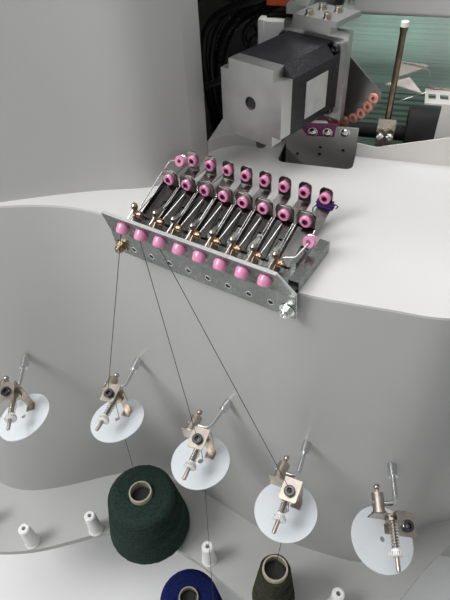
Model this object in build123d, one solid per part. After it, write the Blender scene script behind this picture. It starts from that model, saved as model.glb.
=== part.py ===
"""Sample weaving loom with its yarn wing, in millimetres.

Plan positions are set out from a datum on the floor in front of the yarn wing: x runs to the
right, y runs back into the machine and z is the height above the floor. The finished pieces are
moved once, so that the origin is the middle of the footprint.
"""
from build123d import *
import math
import os

os.makedirs("parts", exist_ok=True)

# Front edge of the footprint, from the plan datum
front_y = 216.4

# Machine outline
left_side_x = -650.0
rear_y = 1545.0
side_front_y = 430.0
housing_top = 1400.0
sheet = 3.0
seam = 0.3

# Levels
beam_underside = 60.0
beam = 60.0
beam_wall = 4.0
shelf_height = 270.0
shelf_board = 12.0
deck_height = 850.0
deck_sheet = 3.0

# Base beams and posts
front_beam_y = 560.0
rear_beam_y = 1480.0
side_inset = 50.0
middle_post_x = -300.0
right_post_inset = 35.0
right_foot_inset = 80.0
drive_beam_offset = 155.0
foot_radius = 30.0
foot_pad = 14.0
foot_stem_radius = 8.0

# Side frames
frame_left_x = -125.0
side_plate = 12.0
frame_front_y = 690.0
frame_step_y = 760.0
frame_rear_y = 1500.0
frame_front_rise = 7.0
frame_upper_z = 1080.0
frame_slope = (90.0, 60.0)
guide_ramp = (25.0, 40.0)
rest_shoulder = 40.0
guide_front_y = 1085.0
guide_rear_y = 1165.0
guide_low_z = 740.0
guide_high_z = 1120.0
guide_depth = 12.0
slot_depth = 8.0
running = 0.05
slide_gap = 0.3

# Yarn wing outlines: the apron leans out towards the shelf on its left lobe
wing_top = [(-650, 428), (-634, 398), (-590, 388), (-530, 402), (-470, 422), (-426, 436),
            (-369, 451), (-302, 451), (-230, 432), (-150, 402), (-51, 373), (41, 371),
            (85, 373), (130, 402), (165, 448), (224, 486), (300, 505)]
wing_foot = [(-648.8, 420), (-637, 370), (-590, 337), (-530, 334), (-467, 358), (-411, 390),
             (-355, 420), (-290, 434), (-225, 425), (-150, 402), (-60, 377), (41, 371),
             (85, 375), (130, 410), (165, 452), (224, 486), (300, 505)]
shelf_edge = [(-650, 330), (-618, 250), (-560, 217), (-511, 223), (-440, 250), (-386, 282),
              (-338, 307), (-277, 316), (-215, 310), (-150, 291), (-85, 267), (-10, 256),
              (70, 272), (146, 330), (178, 380), (224, 444), (262, 485)]
skirt_line = [(-640, 470), (-600, 410), (-520, 396), (-420, 440), (-290, 480), (-150, 452),
              (-30, 418), (60, 416), (150, 480), (260, 516)]
skirt_end_y = 522.0
shelf_back = [(84.7, 2.0), (0.0, 10.0)]
housing_line = [(-650, 428), (-634, 398), (-590, 388), (-530, 402), (-470, 424), (-433, 442),
                (-385, 467), (-335, 490), (-300, 503), (-265, 516), (-241, 533), (-221.5, 556.5)]
jamb_end = (-221.0, 610.0)

# Deck notch for the selector and the raised step beside it
notch_left_x = -127.5
notch_rear_x = -140.0
notch_step_y = 684.0
well_right_x = -231.0
well_front_y = 645.0
notch_right_x = -31.0
notch_front_y = 611.0
notch_radius = 10.0
deck_back_y = 646.0
step_height = 17.0
step_line = [(-221, 612), (-205, 632), (-180, 643), (-140, 645)]
deck_rear_y = 759.7

# Front fence strip along the back of the deck
fence_sheet = 2.0
fence_drop = 20.0
fence_rise = [(-31, 18), (-6, 15), (76, 37)]
fence_end_rise = 40.0

# Cover behind the fence, with a ledge that carries the gripper strip
cover_left_x = 62.0
cover_y = 682.0
cover_low_rise = 8.0
cover_high_rise = 62.0
ledge_left_x = 41.0
ledge_depth = 45.0
ledge_slots = [(45.0, 54.0), (59.0, 69.0)]
ledge_slot_y = (696.0, 710.0)
cover_foot = 10.0
cover_foot_drop = 28.0

# Top bridge
bridge_left_x = -64.0
bridge_front_y = 760.0
bridge_depth = 90.0
bridge_low_z = 985.0
bridge_height = 90.0
bridge_arm = 20.0

# Right housing
housing_clearance = 8.0
right_width = 315.0
right_front_y = 510.0
right_corner = 40.0
window_front_y = 700.0
window_rear_y = 1480.0
window_low_z = 140.0
window_high_z = 1000.0
header_low_z = 1120.0

# Control panel and stop button on the right housing
panel_inset = (45.0, 270.0)
panel_drop = (340.0, 140.0)
panel_depth = 34.0
screen_rim = 14.0
screen_recess = 3.0
stop_inset = 85.0
stop_drop = 390.0
stop_box = 34.0
stop_radius = 19.0
stop_travel = 6.0

# Drive motor in the right housing
drive_radius = 68.0
drive_length = 180.0
drive_inset = 70.0
drive_y = 1020.0
drive_foot = 8.0
drive_shaft_radius = 12.0

# Creel pegs: plan position of each
green_spot = (-275.0, 335.0)
olive_spot = (-43.0, 281.0)
peg_spots = [(-626, 312), (-560, 262), (-464, 254), (-367, 304), green_spot, (-159, 310),
             olive_spot, (52, 298)]
peg_foot_radius = 13.0
peg_top_radius = 9.5
peg_height = 55.0
peg_hole_radius = 3.5

# Yarn cones
core_wall = 2.2
core_base_radius = 31.0
core_nose_radius = 18.0
core_length = 130.0
core_tail = 8.0
core_nose = 7.0
wind_gap = 0.15
green_radii = (70.0, 54.0)
blue_radii = (65.0, 54.0)
olive_radii = (34.0, 22.5)
wind_crown = 8.0
wind_heel = 6.0
blue_lean = (52.0, -8.0, -2.0)
blue_spot = (-200.0, 283.0)

# Yarn tensioners: wall point, height and bearing of the rod, how far behind that point the
# sleeve meets the apron, then the swing of the rod's end and the nod and roll of the head
tensioners = [(-450, 393, 606, 21.0, 7.0, 3.0, -2.0, -14.0),
              (-290, 436, 599, 0.0, 3.5, -3.0, -1.0, -9.0),
              (-138, 398, 608, -16.0, -1.3, 11.0, 3.0, -5.0),
              (-27, 372, 593, -3.5, -0.2, -5.0, 3.0, -3.0),
              (79, 372, 589, 9.6, 0.0, 3.0, 8.0, 13.0)]
rod_radius = 3.0
rod_reach = 50.0
rod_bend = 9.0
sleeve_radius = 5.5
sleeve_out = 16.0
clamp_offset = 20.5
clamp_radius = 7.0
clamp_back = 11.0
clamp_flange_radius = 9.0
clamp_flange = 2.0
clamp_front = 11.0
ball_neck_radius = 2.0
ball_neck = 4.5
ball_radius = 3.8
bracket_sheet = 1.5
bracket_low = -12.0
bracket_high = 8.0
bracket_left = -10.0
eye_width = 21.0
eye_reach = 26.5
eye_centre = 15.5
eye_x = 22.0
eye_rise = 22.0
eye_droop = 4.0
leg_width = 12.0
leg_reach = 11.0
leg_x = 25.5
disc_radius = 38.5
disc_thick = 1.5
disc_x = 16.0
disc_out = 30.5
disc_drop = 34.0
disc_hole_radius = 3.2
post_radius = 2.3
post_end = 71.0
stud_x = 17.5
stud_z = -5.0
post_slot = 14.0
pinch_radius = 9.0
pinch_thick = 1.4
spring_radius = 4.3
spring_wire = 0.5
spring_pitch = 3.2
spring_turns = 9
nut_radius = 8.0
nut_length = 3.6
nut_hub_radius = 5.0
nut_hub = 3.0

# Ceramic eyelets
eyelet_radius = 6.4
eyelet_waist = 4.2
eyelet_bore = 2.6
eyelet_lip = 4.2

# Yarn feeder: its own frame, x along the row, y back, origin under the first front eyelet
feeder_x = -253.0
feeder_y = 409.0
feeder_turn = -15.0
lanes = 8
lane_first = 3.0
lane_pitch = 24.6
plate_sheet = 2.0
plate_left = -22.0
plate_right = 205.0
fold_t = 6.0
fold_rise = 2.0
plate_top_t = -3.0
plate_top_rise = 31.0
plate_low_t = 9.6
plate_low_rise = -29.0
front_eye_rise = 17.0
low_hole_rise = -17.0
low_hole_s = 2.5
low_hole_radius = 2.8
corner_cut = 17.0
tray_sheet = 2.0
tray_left = -14.0
tray_right = 200.0
tray_narrow_left = -5.0
tray_narrow = (60.0, 90.0)
tray_back = 96.0
rib_s = 9.0
rib_width = 6.0
rib_height = 9.0
rib_front = 42.0
rib_back = 65.0
rail_left = 192.0
rail_width = 11.0
rail_height = 11.0
rail_front = 16.0
rail_back = 88.0
leaf_width = 20.5
leaf_sheet = 1.6
leaf_foot_t = 42.0
leaf_head_t = 88.0
leaf_head_rise = 21.0
leaf_head = 20.0
leaf_corner = 6.5
leaf_lip = 3.0
leaf_lip_width = 1.0
leaf_notch_s = 4.6
leaf_notch_t = 68.0
row_eye_rise = 30.0
tab_foot_t = 80.0
tab_head_t = 136.0
tab_head_rise = 18.0
tab_width = 15.0
pivot_t = 36.0
pivot_rise = 10.0
pivot_side = 7.5
first_pivot_side = 12.4
pivot_post_radius = 2.6
pivot_pin_radius = 1.5
hub_radius = 3.2
hub_length = 5.0
lever_wire = 0.9
lever_reach_t = 82.0
lever_reach_rise = 21.5
lever_side = 1.8
bolt_radius = 4.5
bolt_shank_radius = 3.0
bolt_head = 6.0
bolt_washer = 0.8
bolt_washer_radius = 7.5
bolt_reach = 7.4
bolt_rise = -19.0
bolt_s = (-13.0, 196.0)

# Yarn selector: its own frame, y along the motor shaft, origin at the middle of the rear face
selector_x = -149.0
selector_y = 562.0
selector_rise = 96.0
selector_turn = -25.0
motor_half = 43.0
motor_cap = 18.0
motor_stack_end = 110.0
motor_flange_end = 120.0
motor_notch = 12.0
stack_corner = 12.0
stack_scoop = 13.0
stack_scoop_radius = 7.5
motor_rear_hole = 7.5
motor_shaft_radius = 7.0
motor_pilot_radius = 20.0
motor_bolt_offset = 36.5
motor_bolt_radius = 3.0
motor_bolt_head = 4.8
motor_bolt_length = 6.0
mount_half = 46.0
mount_low = -52.0
mount_high = 51.0
mount_thick = 8.0
top_x = (-19.0, 33.0)
top_right_x = 40.0
top_y = (100.0, 150.0)
top_z = (52.5, 60.0, 66.0)
top_block = 14.0
top_screws = [(-1.0, 107.0), (23.5, 107.0), (-1.0, 133.5), (20.5, 133.5)]
top_screw_radius = 4.2
top_screw_height = 5.5
top_socket = 2.2
mount_arm_width = 25.0
mount_arm_front = 686.0
mount_arm_rise = (154.0, 164.0)
fan_plane = 153.0
fan_sheet = 2.5
fan_radius = 83.0
fan_eye_radius = 77.0
fan_hub_radius = 15.0
fan_first = -21.5
fan_step = -10.2
fan_margin = 7.0
fan_eye_outer = 6.0
guide_plate_y = 657.0
guide_plate_rise = (-60.0, 32.0)
guide_plate_left = 3.0
guide_plate_notch = -15.0
guide_plate_return = 43.0
guide_plate_corner = 7.0
guide_hole_radius = 2.4
guide_holes = [(-108.6, -11.5), (-79.0, 1.0), (-79.0, -9.0), (-48.6, 0.0)]
dome_spots = [(-90.5, 21.5), (-71.0, 22.0), (-50.0, 23.5)]
dome_radius = 4.0
strip_rise = (14.0, 30.0)
strip_x = (-112.0, -60.0)
strip_thick = 2.0

# Weaving zone, seen from the side: centres are (y, z)
cloth_margin = 20.0
cloth_width = 450.0
cloth_thick = 1.0
warp_thick = 0.8
roller_gap = 0.3
fell = (1010.0, 930.0)
breast_y = 803.0
breast_rise = 26.0
breast_radius = 13.0
rest_centre = (1400.0, 909.0)
rest_radius = 20.0
take_up_y = 748.0
take_up_drop = 12.0
take_up_radius = 36.0
take_up_left = 28.0
take_up_shaft = 10.0
cloth_roll_centre = (745.0, 560.0)
cloth_roll_radius = 60.0
cloth_tube_radius = 25.0
cloth_shaft = 12.0
beam_centre = (1380.0, 540.0)
beam_barrel = 40.0
beam_wound = 100.0
beam_flange = 140.0
beam_flange_thick = 6.0
beam_shaft = 15.0
warp_ends = 56
warp_slot = 5.0
warp_slot_margin = 5.0

# Sley and reed
sley_centre = (1040.0, 650.0)
sley_shaft = 10.0
sley_sword = 14.0
sley_beam_z = (880.0, 904.0)
sley_beam_half = 16.0
reed_half = 4.0
reed_top_z = 986.0
reed_baulk = 14.0
reed_post = 6.0
dent_width = 1.4
sley_edge = 4.0

# Heald frames
heald_frames = 4
heald_first_y = 1100.0
heald_pitch = 18.0
heald_thick = 8.0
heald_low_z = 770.0
heald_high_z = 1090.0
heald_bar = 25.0
heald_post = 8.0
heald_wire_width = 1.4
heald_wire_thick = 2.0
heald_inset = 6.0

# Rapier
rapier_centre = (1024.0, 950.0)
rapier_radius = 6.0
rapier_length = 515.0
rapier_head = 12.0
rapier_head_width = 9.0
rapier_head_height = 12.0
rapier_start = -111.0
rapier_guide = 50.0
rapier_guide_half = 14.0

# Thread gripper beside the take-up roller
gripper_x = (-10.0, 12.0)
gripper_y = 668.0
gripper_sheet = 2.0
gripper_top_rise = 43.0
gripper_rod_x = 1.0
gripper_rod_rise = 155.0
gripper_rod_radius = 3.6
gripper_tip = 9.0
gripper_tip_radius = 4.4
gripper_strip = [(-5, 94), (38, 88), (43, 82), (45.5, 65), (72, 63.4)]
gripper_strip_width = 4.0
gripper_strip_thick = 1.4
gripper_bolts = [(-5.0, 22.0), (7.0, 22.0)]

# Motor cable inside the left housing
cable_radius = 4.0
cable_gap = 0.4
cable_start = (60.0, -10.0)
cable_lead = 44.0
cable_route = [(-258, 668, 908), (-310, 720, 925), (-322, 790, 965), (-285, 850, 985),
               (-232, 868, 960), (-206, 850, 915), (-196, 812, 880)]

# Yarns
yarn_radius = 0.4

cloth_left = frame_left_x + cloth_margin
cloth_right = cloth_left + cloth_width
frame_right_x = cloth_right + cloth_margin
right_inner_x = frame_right_x + side_plate + housing_clearance
right_side_x = right_inner_x + right_width
wing_right_x = right_inner_x - seam
wing_top = [*wing_top, (wing_right_x, right_front_y)]
wing_foot = [*wing_foot, (wing_right_x, right_front_y)]
skirt_line = [*skirt_line, (wing_right_x, skirt_end_y)]
fence_rise = [*fence_rise, (wing_right_x, fence_end_rise)]
middle_x = (left_side_x + right_side_x) / 2
middle_y = (front_y + rear_y) / 2
cross_beam_x = (left_side_x + side_inset, right_inner_x + drive_beam_offset)
post_x = (left_side_x + side_inset, middle_post_x, frame_right_x - right_post_inset)
foot_x = (left_side_x + side_inset, middle_x, right_side_x - right_foot_inset)
panel_x = tuple(right_inner_x + inset for inset in panel_inset)
panel_z = tuple(housing_top - drop for drop in panel_drop)
stop_x = right_inner_x + stop_inset
stop_z = housing_top - stop_drop
drive_x = right_inner_x + drive_inset
frame_front_z = deck_height + frame_front_rise
fold_z = deck_height + fold_rise
plate_top_z = deck_height + plate_top_rise
plate_low_z = deck_height + plate_low_rise
front_eye_z = deck_height + front_eye_rise
low_hole_z = deck_height + low_hole_rise
leaf_head_z = deck_height + leaf_head_rise
row_eye_z = deck_height + row_eye_rise
tab_head_z = deck_height + tab_head_rise
pivot_z = deck_height + pivot_rise
lever_reach_z = deck_height + lever_reach_rise
bolt_z = deck_height + bolt_rise
selector_z = deck_height + selector_rise
breast_centre = (breast_y, deck_height + breast_rise)
take_up_centre = (take_up_y, deck_height - take_up_drop)
beam_top = beam_underside + beam
deck_under = deck_height - deck_sheet
shelf_under = shelf_height - shelf_board
feeder = Location((feeder_x, feeder_y, 0), (0, 0, feeder_turn))
selector = Location((selector_x, selector_y, selector_z), (0, 0, selector_turn))
parts = {}


def keep(name, *solids):
    """Store a node: one solid, or a group of separate solids."""
    found = []
    for solid in solids:
        found.extend(solid.solids())
    parts[name] = found[0] if len(found) == 1 else Compound(found)


def block(x, y, z):
    """Box between the limits given for each direction."""
    size = Box(x[1] - x[0], y[1] - y[0], z[1] - z[0])
    return Pos((x[0] + x[1]) / 2, (y[0] + y[1]) / 2, (z[0] + z[1]) / 2) * size


def rod(start, end, radius):
    """Round bar between two points."""
    run = Vector(*end) - Vector(*start)
    place = Plane(origin=Vector(*start) + run * 0.5, z_dir=run.normalized())
    return place * Cylinder(radius, run.length)


def tube(start, end, radius, bore):
    return rod(start, end, radius) - rod(start, end, bore)


def swept(points, radius, bend):
    """Round wire through points with rounded bends."""
    path = FilletPolyline(*points, radius=bend)
    start = Plane(origin=path @ 0, z_dir=path % 0)
    return sweep(start * Circle(radius), path=path)


def turned(profile):
    """Solid of revolution about z from (radius, height) points."""
    outline = Polyline(*[(r, 0, z) for r, z in profile], close=True)
    return revolve(make_face(outline), Axis.Z)


def shifted(points, distance):
    """The same outline moved to its left by a distance, point by point."""
    moved = []
    last = len(points) - 1
    for i, (x, y) in enumerate(points):
        x0, y0 = points[max(i - 1, 0)]
        x1, y1 = points[min(i + 1, last)]
        run = math.hypot(x1 - x0, y1 - y0)
        moved.append((x - (y1 - y0) / run * distance, y + (x1 - x0) / run * distance))
    return moved


def raised(points, z):
    return [(x, y, z) for x, y in points]


def wall_face(points, thickness, z):
    """Plan section of a curved wall whose outer side follows the points."""
    outer = raised(points, z)
    inner = raised(shifted(points, thickness), z)
    edges = [Spline(*outer), Line(outer[-1], inner[-1]), Spline(*inner[::-1]),
             Line(inner[0], outer[0])]
    return make_face(edges)


def side_profile(points, x0, x1):
    """Solid with a (y, z) outline, between two x positions."""
    face = Plane.YZ.offset(x0) * make_face(Polyline(*points, close=True))
    return extrude(face, amount=x1 - x0)


def front_profile(points, y0, y1):
    """Solid with an (x, z) outline, between two y positions."""
    face = make_face(Polyline(*[(x, y0, z) for x, z in points], close=True))
    return extrude(face, amount=y1 - y0, dir=(0, 1, 0))


def heading(a, b):
    """Angle of the straight run between two wrapped circles (centre, radius, turn)."""
    (ca, ra, ta), (cb, rb, tb) = a, b
    dy, dz = cb[0] - ca[0], cb[1] - ca[1]
    return math.atan2(dz, dy) - math.asin((tb * rb - ta * ra) / math.hypot(dy, dz))


def leaves_at(circle, angle, offset):
    """Point where a run with this heading meets the circle, moved to the run's left."""
    (cy, cz), radius, turn = circle
    reach = offset - turn * radius
    return (cy - math.sin(angle) * reach, cz + math.cos(angle) * reach)


def strip_side(circles, offset):
    """Edges along one side of a band that wraps round circles in turn."""
    edges = []
    arrived = None
    for a, b in zip(circles, circles[1:]):
        angle = heading(a, b)
        start = leaves_at(a, angle, offset)
        end = leaves_at(b, angle, offset)
        if arrived and a[1] > 0:
            middle = leaves_at(a, (arrived[1] + angle) / 2, offset)
            edges.append(ThreePointArc(arrived[0], middle, start))
        edges.append(Line(start, end))
        arrived = (end, angle)
    return edges


def band(circles, thickness, x0, x1):
    """Sheet that wraps round circles, extruded across the machine."""
    left = strip_side(circles, thickness / 2)
    right = strip_side(circles, -thickness / 2)
    ends = [Line(left[-1] @ 1, right[-1] @ 1), Line(left[0] @ 0, right[0] @ 0)]
    face = Plane.YZ.offset(x0) * make_face([*left, *right, *ends])
    return extrude(face, amount=x1 - x0)


def eyelet(wall, outer=eyelet_radius, waist=eyelet_waist):
    """Flanged ceramic eyelet about z, its waist in a wall that is centred on z = 0."""
    half = wall / 2
    top = half + eyelet_lip
    profile = [(eyelet_bore + 0.9, -top), (outer - 0.8, -top), (outer, -top + 0.8), (outer, -half),
               (waist, -half), (waist, half), (outer, half), (outer, top - 0.8),
               (outer - 0.8, top), (eyelet_bore + 0.9, top), (eyelet_bore, top - 1.4),
               (eyelet_bore, -top + 1.4)]
    return turned(profile)


def eyelet_hole(wall, waist=eyelet_waist):
    return Cylinder(waist + running, wall * 3)


def lane_s(i):
    """Place of a lane along the feeder's row."""
    return lane_first + lane_pitch * i


def make_base():
    """Feet, beams and posts that carry the machine."""
    feet = []
    for x in foot_x:
        for y in (front_beam_y, rear_beam_y):
            feet.append(turned([(0, 0), (foot_radius, 0), (foot_radius, foot_pad * 0.6),
                                (foot_stem_radius * 1.8, foot_pad), (foot_stem_radius, foot_pad),
                                (foot_stem_radius, beam_underside), (0, beam_underside)]
                               ).moved(Location((x, y, 0))))
    keep("levelling_feet", *feet)

    half = beam / 2
    inner = half - beam_wall
    x_ends = (left_side_x + sheet, right_side_x - right_corner)
    beams = []
    for y in (front_beam_y, rear_beam_y):
        outside = block(x_ends, (y - half, y + half), (beam_underside, beam_top))
        bore = block(x_ends, (y - inner, y + inner),
                     (beam_underside + beam_wall, beam_top - beam_wall))
        beams.append(outside - bore)
    y_ends = (front_beam_y + half, rear_beam_y - half)
    frame_x = (frame_left_x - side_plate / 2, frame_right_x + side_plate / 2)
    for x in (*cross_beam_x, *frame_x):
        outside = block((x - half, x + half), y_ends, (beam_underside, beam_top))
        bore = block((x - inner, x + inner), y_ends,
                     (beam_underside + beam_wall, beam_top - beam_wall))
        beams.append(outside - bore)
    for x in post_x:
        for z_ends in ((beam_top, shelf_under), (shelf_height, deck_under)):
            outside = block((x - half, x + half), (front_beam_y - half, front_beam_y + half), z_ends)
            bore = block((x - inner, x + inner), (front_beam_y - inner, front_beam_y + inner), z_ends)
            beams.append(outside - bore)
    keep("frame_beams", *beams)


def make_side_frames():
    """Two cast side plates with bearing bores and slotted guides for the heald frames."""
    outline = [(frame_front_y, beam_top), (frame_front_y, frame_front_z),
               (frame_step_y, frame_front_z), (frame_step_y, frame_upper_z),
               (guide_front_y - guide_ramp[0], frame_upper_z), (guide_front_y, guide_high_z),
               (guide_rear_y, guide_high_z), (guide_rear_y + guide_ramp[1], frame_upper_z),
               (frame_rear_y - frame_slope[0], frame_upper_z - frame_slope[1]),
               (frame_rear_y, rest_centre[1] + rest_shoulder),
               (frame_rear_y, beam_top)]
    bores = [(take_up_centre, take_up_shaft), (cloth_roll_centre, cloth_shaft),
             (beam_centre, beam_shaft), (sley_centre, sley_shaft)]
    plates = []
    for inside, outward in ((frame_left_x, -1), (frame_right_x, 1)):
        x_ends = sorted((inside, inside + outward * side_plate))
        plate = side_profile(outline, *x_ends)
        cheek_ends = sorted((inside, inside - outward * guide_depth))
        plate += block(cheek_ends, (guide_front_y, guide_rear_y), (guide_low_z, guide_high_z))
        slot_ends = sorted((inside - outward * guide_depth,
                            inside - outward * (guide_depth - slot_depth)))
        for i in range(heald_frames):
            y = heald_first_y + heald_pitch * i
            half = heald_thick / 2 + slide_gap
            plate -= block(slot_ends, (y - half, y + half), (guide_low_z, guide_high_z))
        if outward < 0:
            y, z = rapier_centre
            plate += block((x_ends[0] - rapier_guide, x_ends[0]),
                           (y - rapier_guide_half, y + rapier_guide_half),
                           (z - rapier_guide_half, z + rapier_guide_half))
            plate -= rod((x_ends[0] - rapier_guide, y, z), (inside, y, z), rapier_radius + running)
        for (y, z), radius in bores:
            plate -= rod((x_ends[0], y, z), (x_ends[1], y, z), radius + running)
        plates.append(plate)
    keep("side_frames", *plates)


def make_left_housing():
    """Front cover with its jamb and header, and the outer shell."""
    z0, z1 = deck_height, housing_top - sheet
    outer = raised(housing_line, z0)
    inner = raised(shifted(housing_line, sheet), z0)
    jx, jy = jamb_end
    corner = [outer[-1], (jx, jy, z0), (jx - sheet, jy, z0), inner[-1]]
    edges = [Spline(*outer), Line(corner[0], corner[1]), Line(corner[1], corner[2]),
             Line(corner[2], corner[3]), Spline(*inner[::-1]), Line(inner[0], outer[0])]
    cover = extrude(make_face(edges), amount=z1 - z0)
    header_end = (frame_left_x - side_plate - sheet - seam, frame_step_y)
    header = [(jx, jy), header_end, (header_end[0] - sheet, header_end[1]), (jx - sheet, jy)]
    cover += Pos(0, 0, header_low_z) * extrude(
        make_face(Polyline(*raised(header, 0), close=True)), amount=z1 - header_low_z)
    keep("left_front_cover", cover)

    inner_x = frame_left_x - side_plate
    side = block((left_side_x, left_side_x + sheet), (side_front_y, rear_y),
                 (beam_underside, housing_top - sheet))
    rear = block((left_side_x + sheet, inner_x), (rear_y - sheet, rear_y),
                 (beam_underside, housing_top - sheet))
    inside = block((inner_x - sheet, inner_x), (frame_step_y, rear_y - sheet),
                   (guide_high_z + seam, housing_top - sheet))
    roof_line = [*housing_line, jamb_end, (inner_x, frame_step_y), (inner_x, rear_y),
                 (left_side_x, rear_y)]
    front = Spline(*raised(housing_line, housing_top - sheet))
    rest = Polyline(*raised(roof_line[len(housing_line) - 1:] + [housing_line[0]],
                            housing_top - sheet))
    roof = extrude(make_face([front, *rest.edges()]), amount=sheet)
    keep("left_outer_cover", side + rear + inside + roof)


def make_right_housing():
    """Closed shell over the drive side, with a window for the shafts in its inner wall."""
    plan = Pos((right_inner_x + right_side_x) / 2, (right_front_y + rear_y) / 2,
               beam_underside) * Rectangle(right_side_x - right_inner_x, rear_y - right_front_y)
    outside = extrude(plan, amount=housing_top - beam_underside)
    upright = outside.edges().filter_by(Axis.Z).group_by(Axis.X)[-1]
    outside = fillet(upright, right_corner)
    hollow = Pos(0, 0, -sheet) * extrude(plan, amount=housing_top - beam_underside)
    hollow = fillet(hollow.edges().filter_by(Axis.Z).group_by(Axis.X)[-1], right_corner)
    hollow = hollow & block((right_inner_x + sheet, right_side_x - sheet),
                            (right_front_y + sheet, rear_y - sheet),
                            (beam_underside - sheet, housing_top - sheet))
    shell = outside - hollow
    shell -= block((right_inner_x - 1, right_inner_x + sheet + 1),
                   (window_front_y, window_rear_y), (window_low_z, window_high_z))
    half = beam / 2 + seam
    shell -= block((right_inner_x - 1, right_inner_x + sheet + 1),
                   (front_beam_y - half, rear_beam_y + half), (beam_underside - 1, beam_top + seam))
    keep("right_housing", shell)

    y0 = right_front_y - panel_depth
    case = block(panel_x, (y0, right_front_y), panel_z)
    case -= block((panel_x[0] + screen_rim, panel_x[1] - screen_rim), (y0, y0 + screen_recess),
                  (panel_z[0] + screen_rim, panel_z[1] - screen_rim))
    half = stop_box
    case += block((stop_x - half, stop_x + half), (right_front_y - panel_depth, right_front_y),
                  (stop_z - half, panel_z[0]))
    stem = stop_radius * 0.5
    bore_depth = stop_travel + 16
    case -= rod((stop_x, y0, stop_z), (stop_x, y0 + bore_depth, stop_z), stem + running)
    keep("control_panel", case)
    back = y0 - stop_travel - slide_gap
    button = rod((stop_x, back, stop_z), (stop_x, y0 + 12, stop_z), stem)
    button += rod((stop_x, back - 10, stop_z), (stop_x, back, stop_z), stop_radius)
    keep("emergency_stop", button)

    z = beam_top + drive_foot + drive_radius
    motor = rod((drive_x, drive_y, z), (drive_x + drive_length, drive_y, z), drive_radius)
    motor += block((cross_beam_x[1] - 50, cross_beam_x[1] + 50), (drive_y - 60, drive_y + 60),
                   (beam_top, beam_top + drive_foot + 20))
    motor += rod((right_inner_x + 8, drive_y, z), (drive_x, drive_y, z), drive_shaft_radius)
    keep("drive_motor", motor)


def make_wing():
    """Deck, apron, skirt, shelf and fence: the curved front of the machine."""
    apron = loft([wall_face(wing_foot, sheet, shelf_height), wall_face(wing_top, sheet, deck_under)],
                 ruled=True)
    keep("apron_panel", apron)

    inner_x = left_side_x + sheet + seam
    right_x = wing_top[-1][0]
    edge = Spline(*raised(wing_top, deck_under))
    r = notch_radius
    nl, nr, nf = notch_left_x, notch_right_x, notch_front_y
    rear = notch_rear_x
    back = [(right_x, wing_top[-1][1]), (right_x, deck_back_y), (nr, deck_back_y), (nr, nf), (nl, nf),
            (nl, notch_step_y), (rear, notch_step_y), (rear, deck_rear_y),
            (well_right_x, deck_rear_y), (well_right_x, well_front_y),
            (inner_x, well_front_y), (inner_x, side_front_y - seam),
            (left_side_x, side_front_y - seam), (left_side_x, wing_top[0][1])]
    deck = extrude(make_face([edge, *Polyline(*raised(back, deck_under)).edges()]),
                   amount=deck_sheet)
    corners = [e for e in deck.edges().filter_by(Axis.Z)
               if abs(e.center().Y - nf) < 0.1 and nl - 0.1 < e.center().X < nr + 0.1]
    deck = fillet(corners, r)
    front = Spline(*raised(step_line, deck_height))
    step_back = [(rear, step_line[-1][1]), (rear, deck_rear_y), (step_line[0][0], deck_rear_y),
                 step_line[0]]
    step = extrude(make_face([front, *Polyline(*raised(step_back, deck_height)).edges()]),
                   amount=step_height)
    keep("deck", deck + step)

    edge = Spline(*raised(shelf_edge, shelf_under))
    back_y = front_beam_y + beam / 2
    corners = [(right_x - inset, right_front_y + step) for inset, step in shelf_back]
    back = [shelf_edge[-1], *corners, (right_x, back_y), (inner_x, back_y),
            (inner_x, side_front_y - seam), (left_side_x, side_front_y - seam), shelf_edge[0]]
    board = extrude(make_face([edge, *Polyline(*raised(back, shelf_under)).edges()]),
                    amount=shelf_board)
    keep("creel_shelf", board)

    skirt = extrude(wall_face(skirt_line, sheet, beam_underside), amount=shelf_under - beam_underside)
    keep("lower_skirt", skirt)

    low = deck_under - fence_drop
    outline = [(fence_rise[0][0], low)]
    outline += [(x, deck_height + rise) for x, rise in fence_rise]
    outline += [(fence_rise[-1][0], low)]
    fence = front_profile(outline, deck_back_y, deck_back_y + fence_sheet)

    cover_right = frame_right_x + side_plate - 1
    z0, z1 = deck_height + cover_low_rise, deck_height + cover_high_rise
    cover = block((cover_left_x, cover_right), (cover_y, cover_y + fence_sheet), (z0, z1))
    cover += block((ledge_left_x, cover_right), (cover_y, cover_y + ledge_depth),
                   (z1 - fence_sheet, z1))
    for x_ends in ledge_slots:
        cover -= block(x_ends, ledge_slot_y, (z1 - fence_sheet * 2, z1 + 1))
    cover += block((cover_right - cover_foot, cover_right), (cover_y, frame_front_y),
                   (frame_front_z - cover_foot_drop, frame_front_z))
    cover += block((cover_right - cover_foot, cover_right), (cover_y, cover_y + fence_sheet),
                   (frame_front_z - cover_foot_drop, z0))
    keep("front_fence", fence, cover)


def make_bridge():
    """Hollow cover beam across the weaving zone, on a short arm at its left end."""
    y0, y1 = bridge_front_y, bridge_front_y + bridge_depth
    z0, z1 = bridge_low_z, bridge_low_z + bridge_height
    beam_shell = block((bridge_left_x, frame_right_x), (y0, y1), (z0, z1))
    beam_shell = fillet(beam_shell.edges().filter_by(Axis.X), 6)
    beam_shell -= block((bridge_left_x + sheet, frame_right_x - sheet), (y0 + sheet, y1 - sheet),
                        (z0 + sheet, z1 - sheet))
    y = (y0 + y1) / 2
    z = (z0 + z1) / 2
    arm = block((frame_left_x, bridge_left_x), (y - bridge_arm, y + bridge_arm),
                (z - bridge_arm, z + bridge_arm))
    keep("top_bridge", beam_shell + arm)


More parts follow.
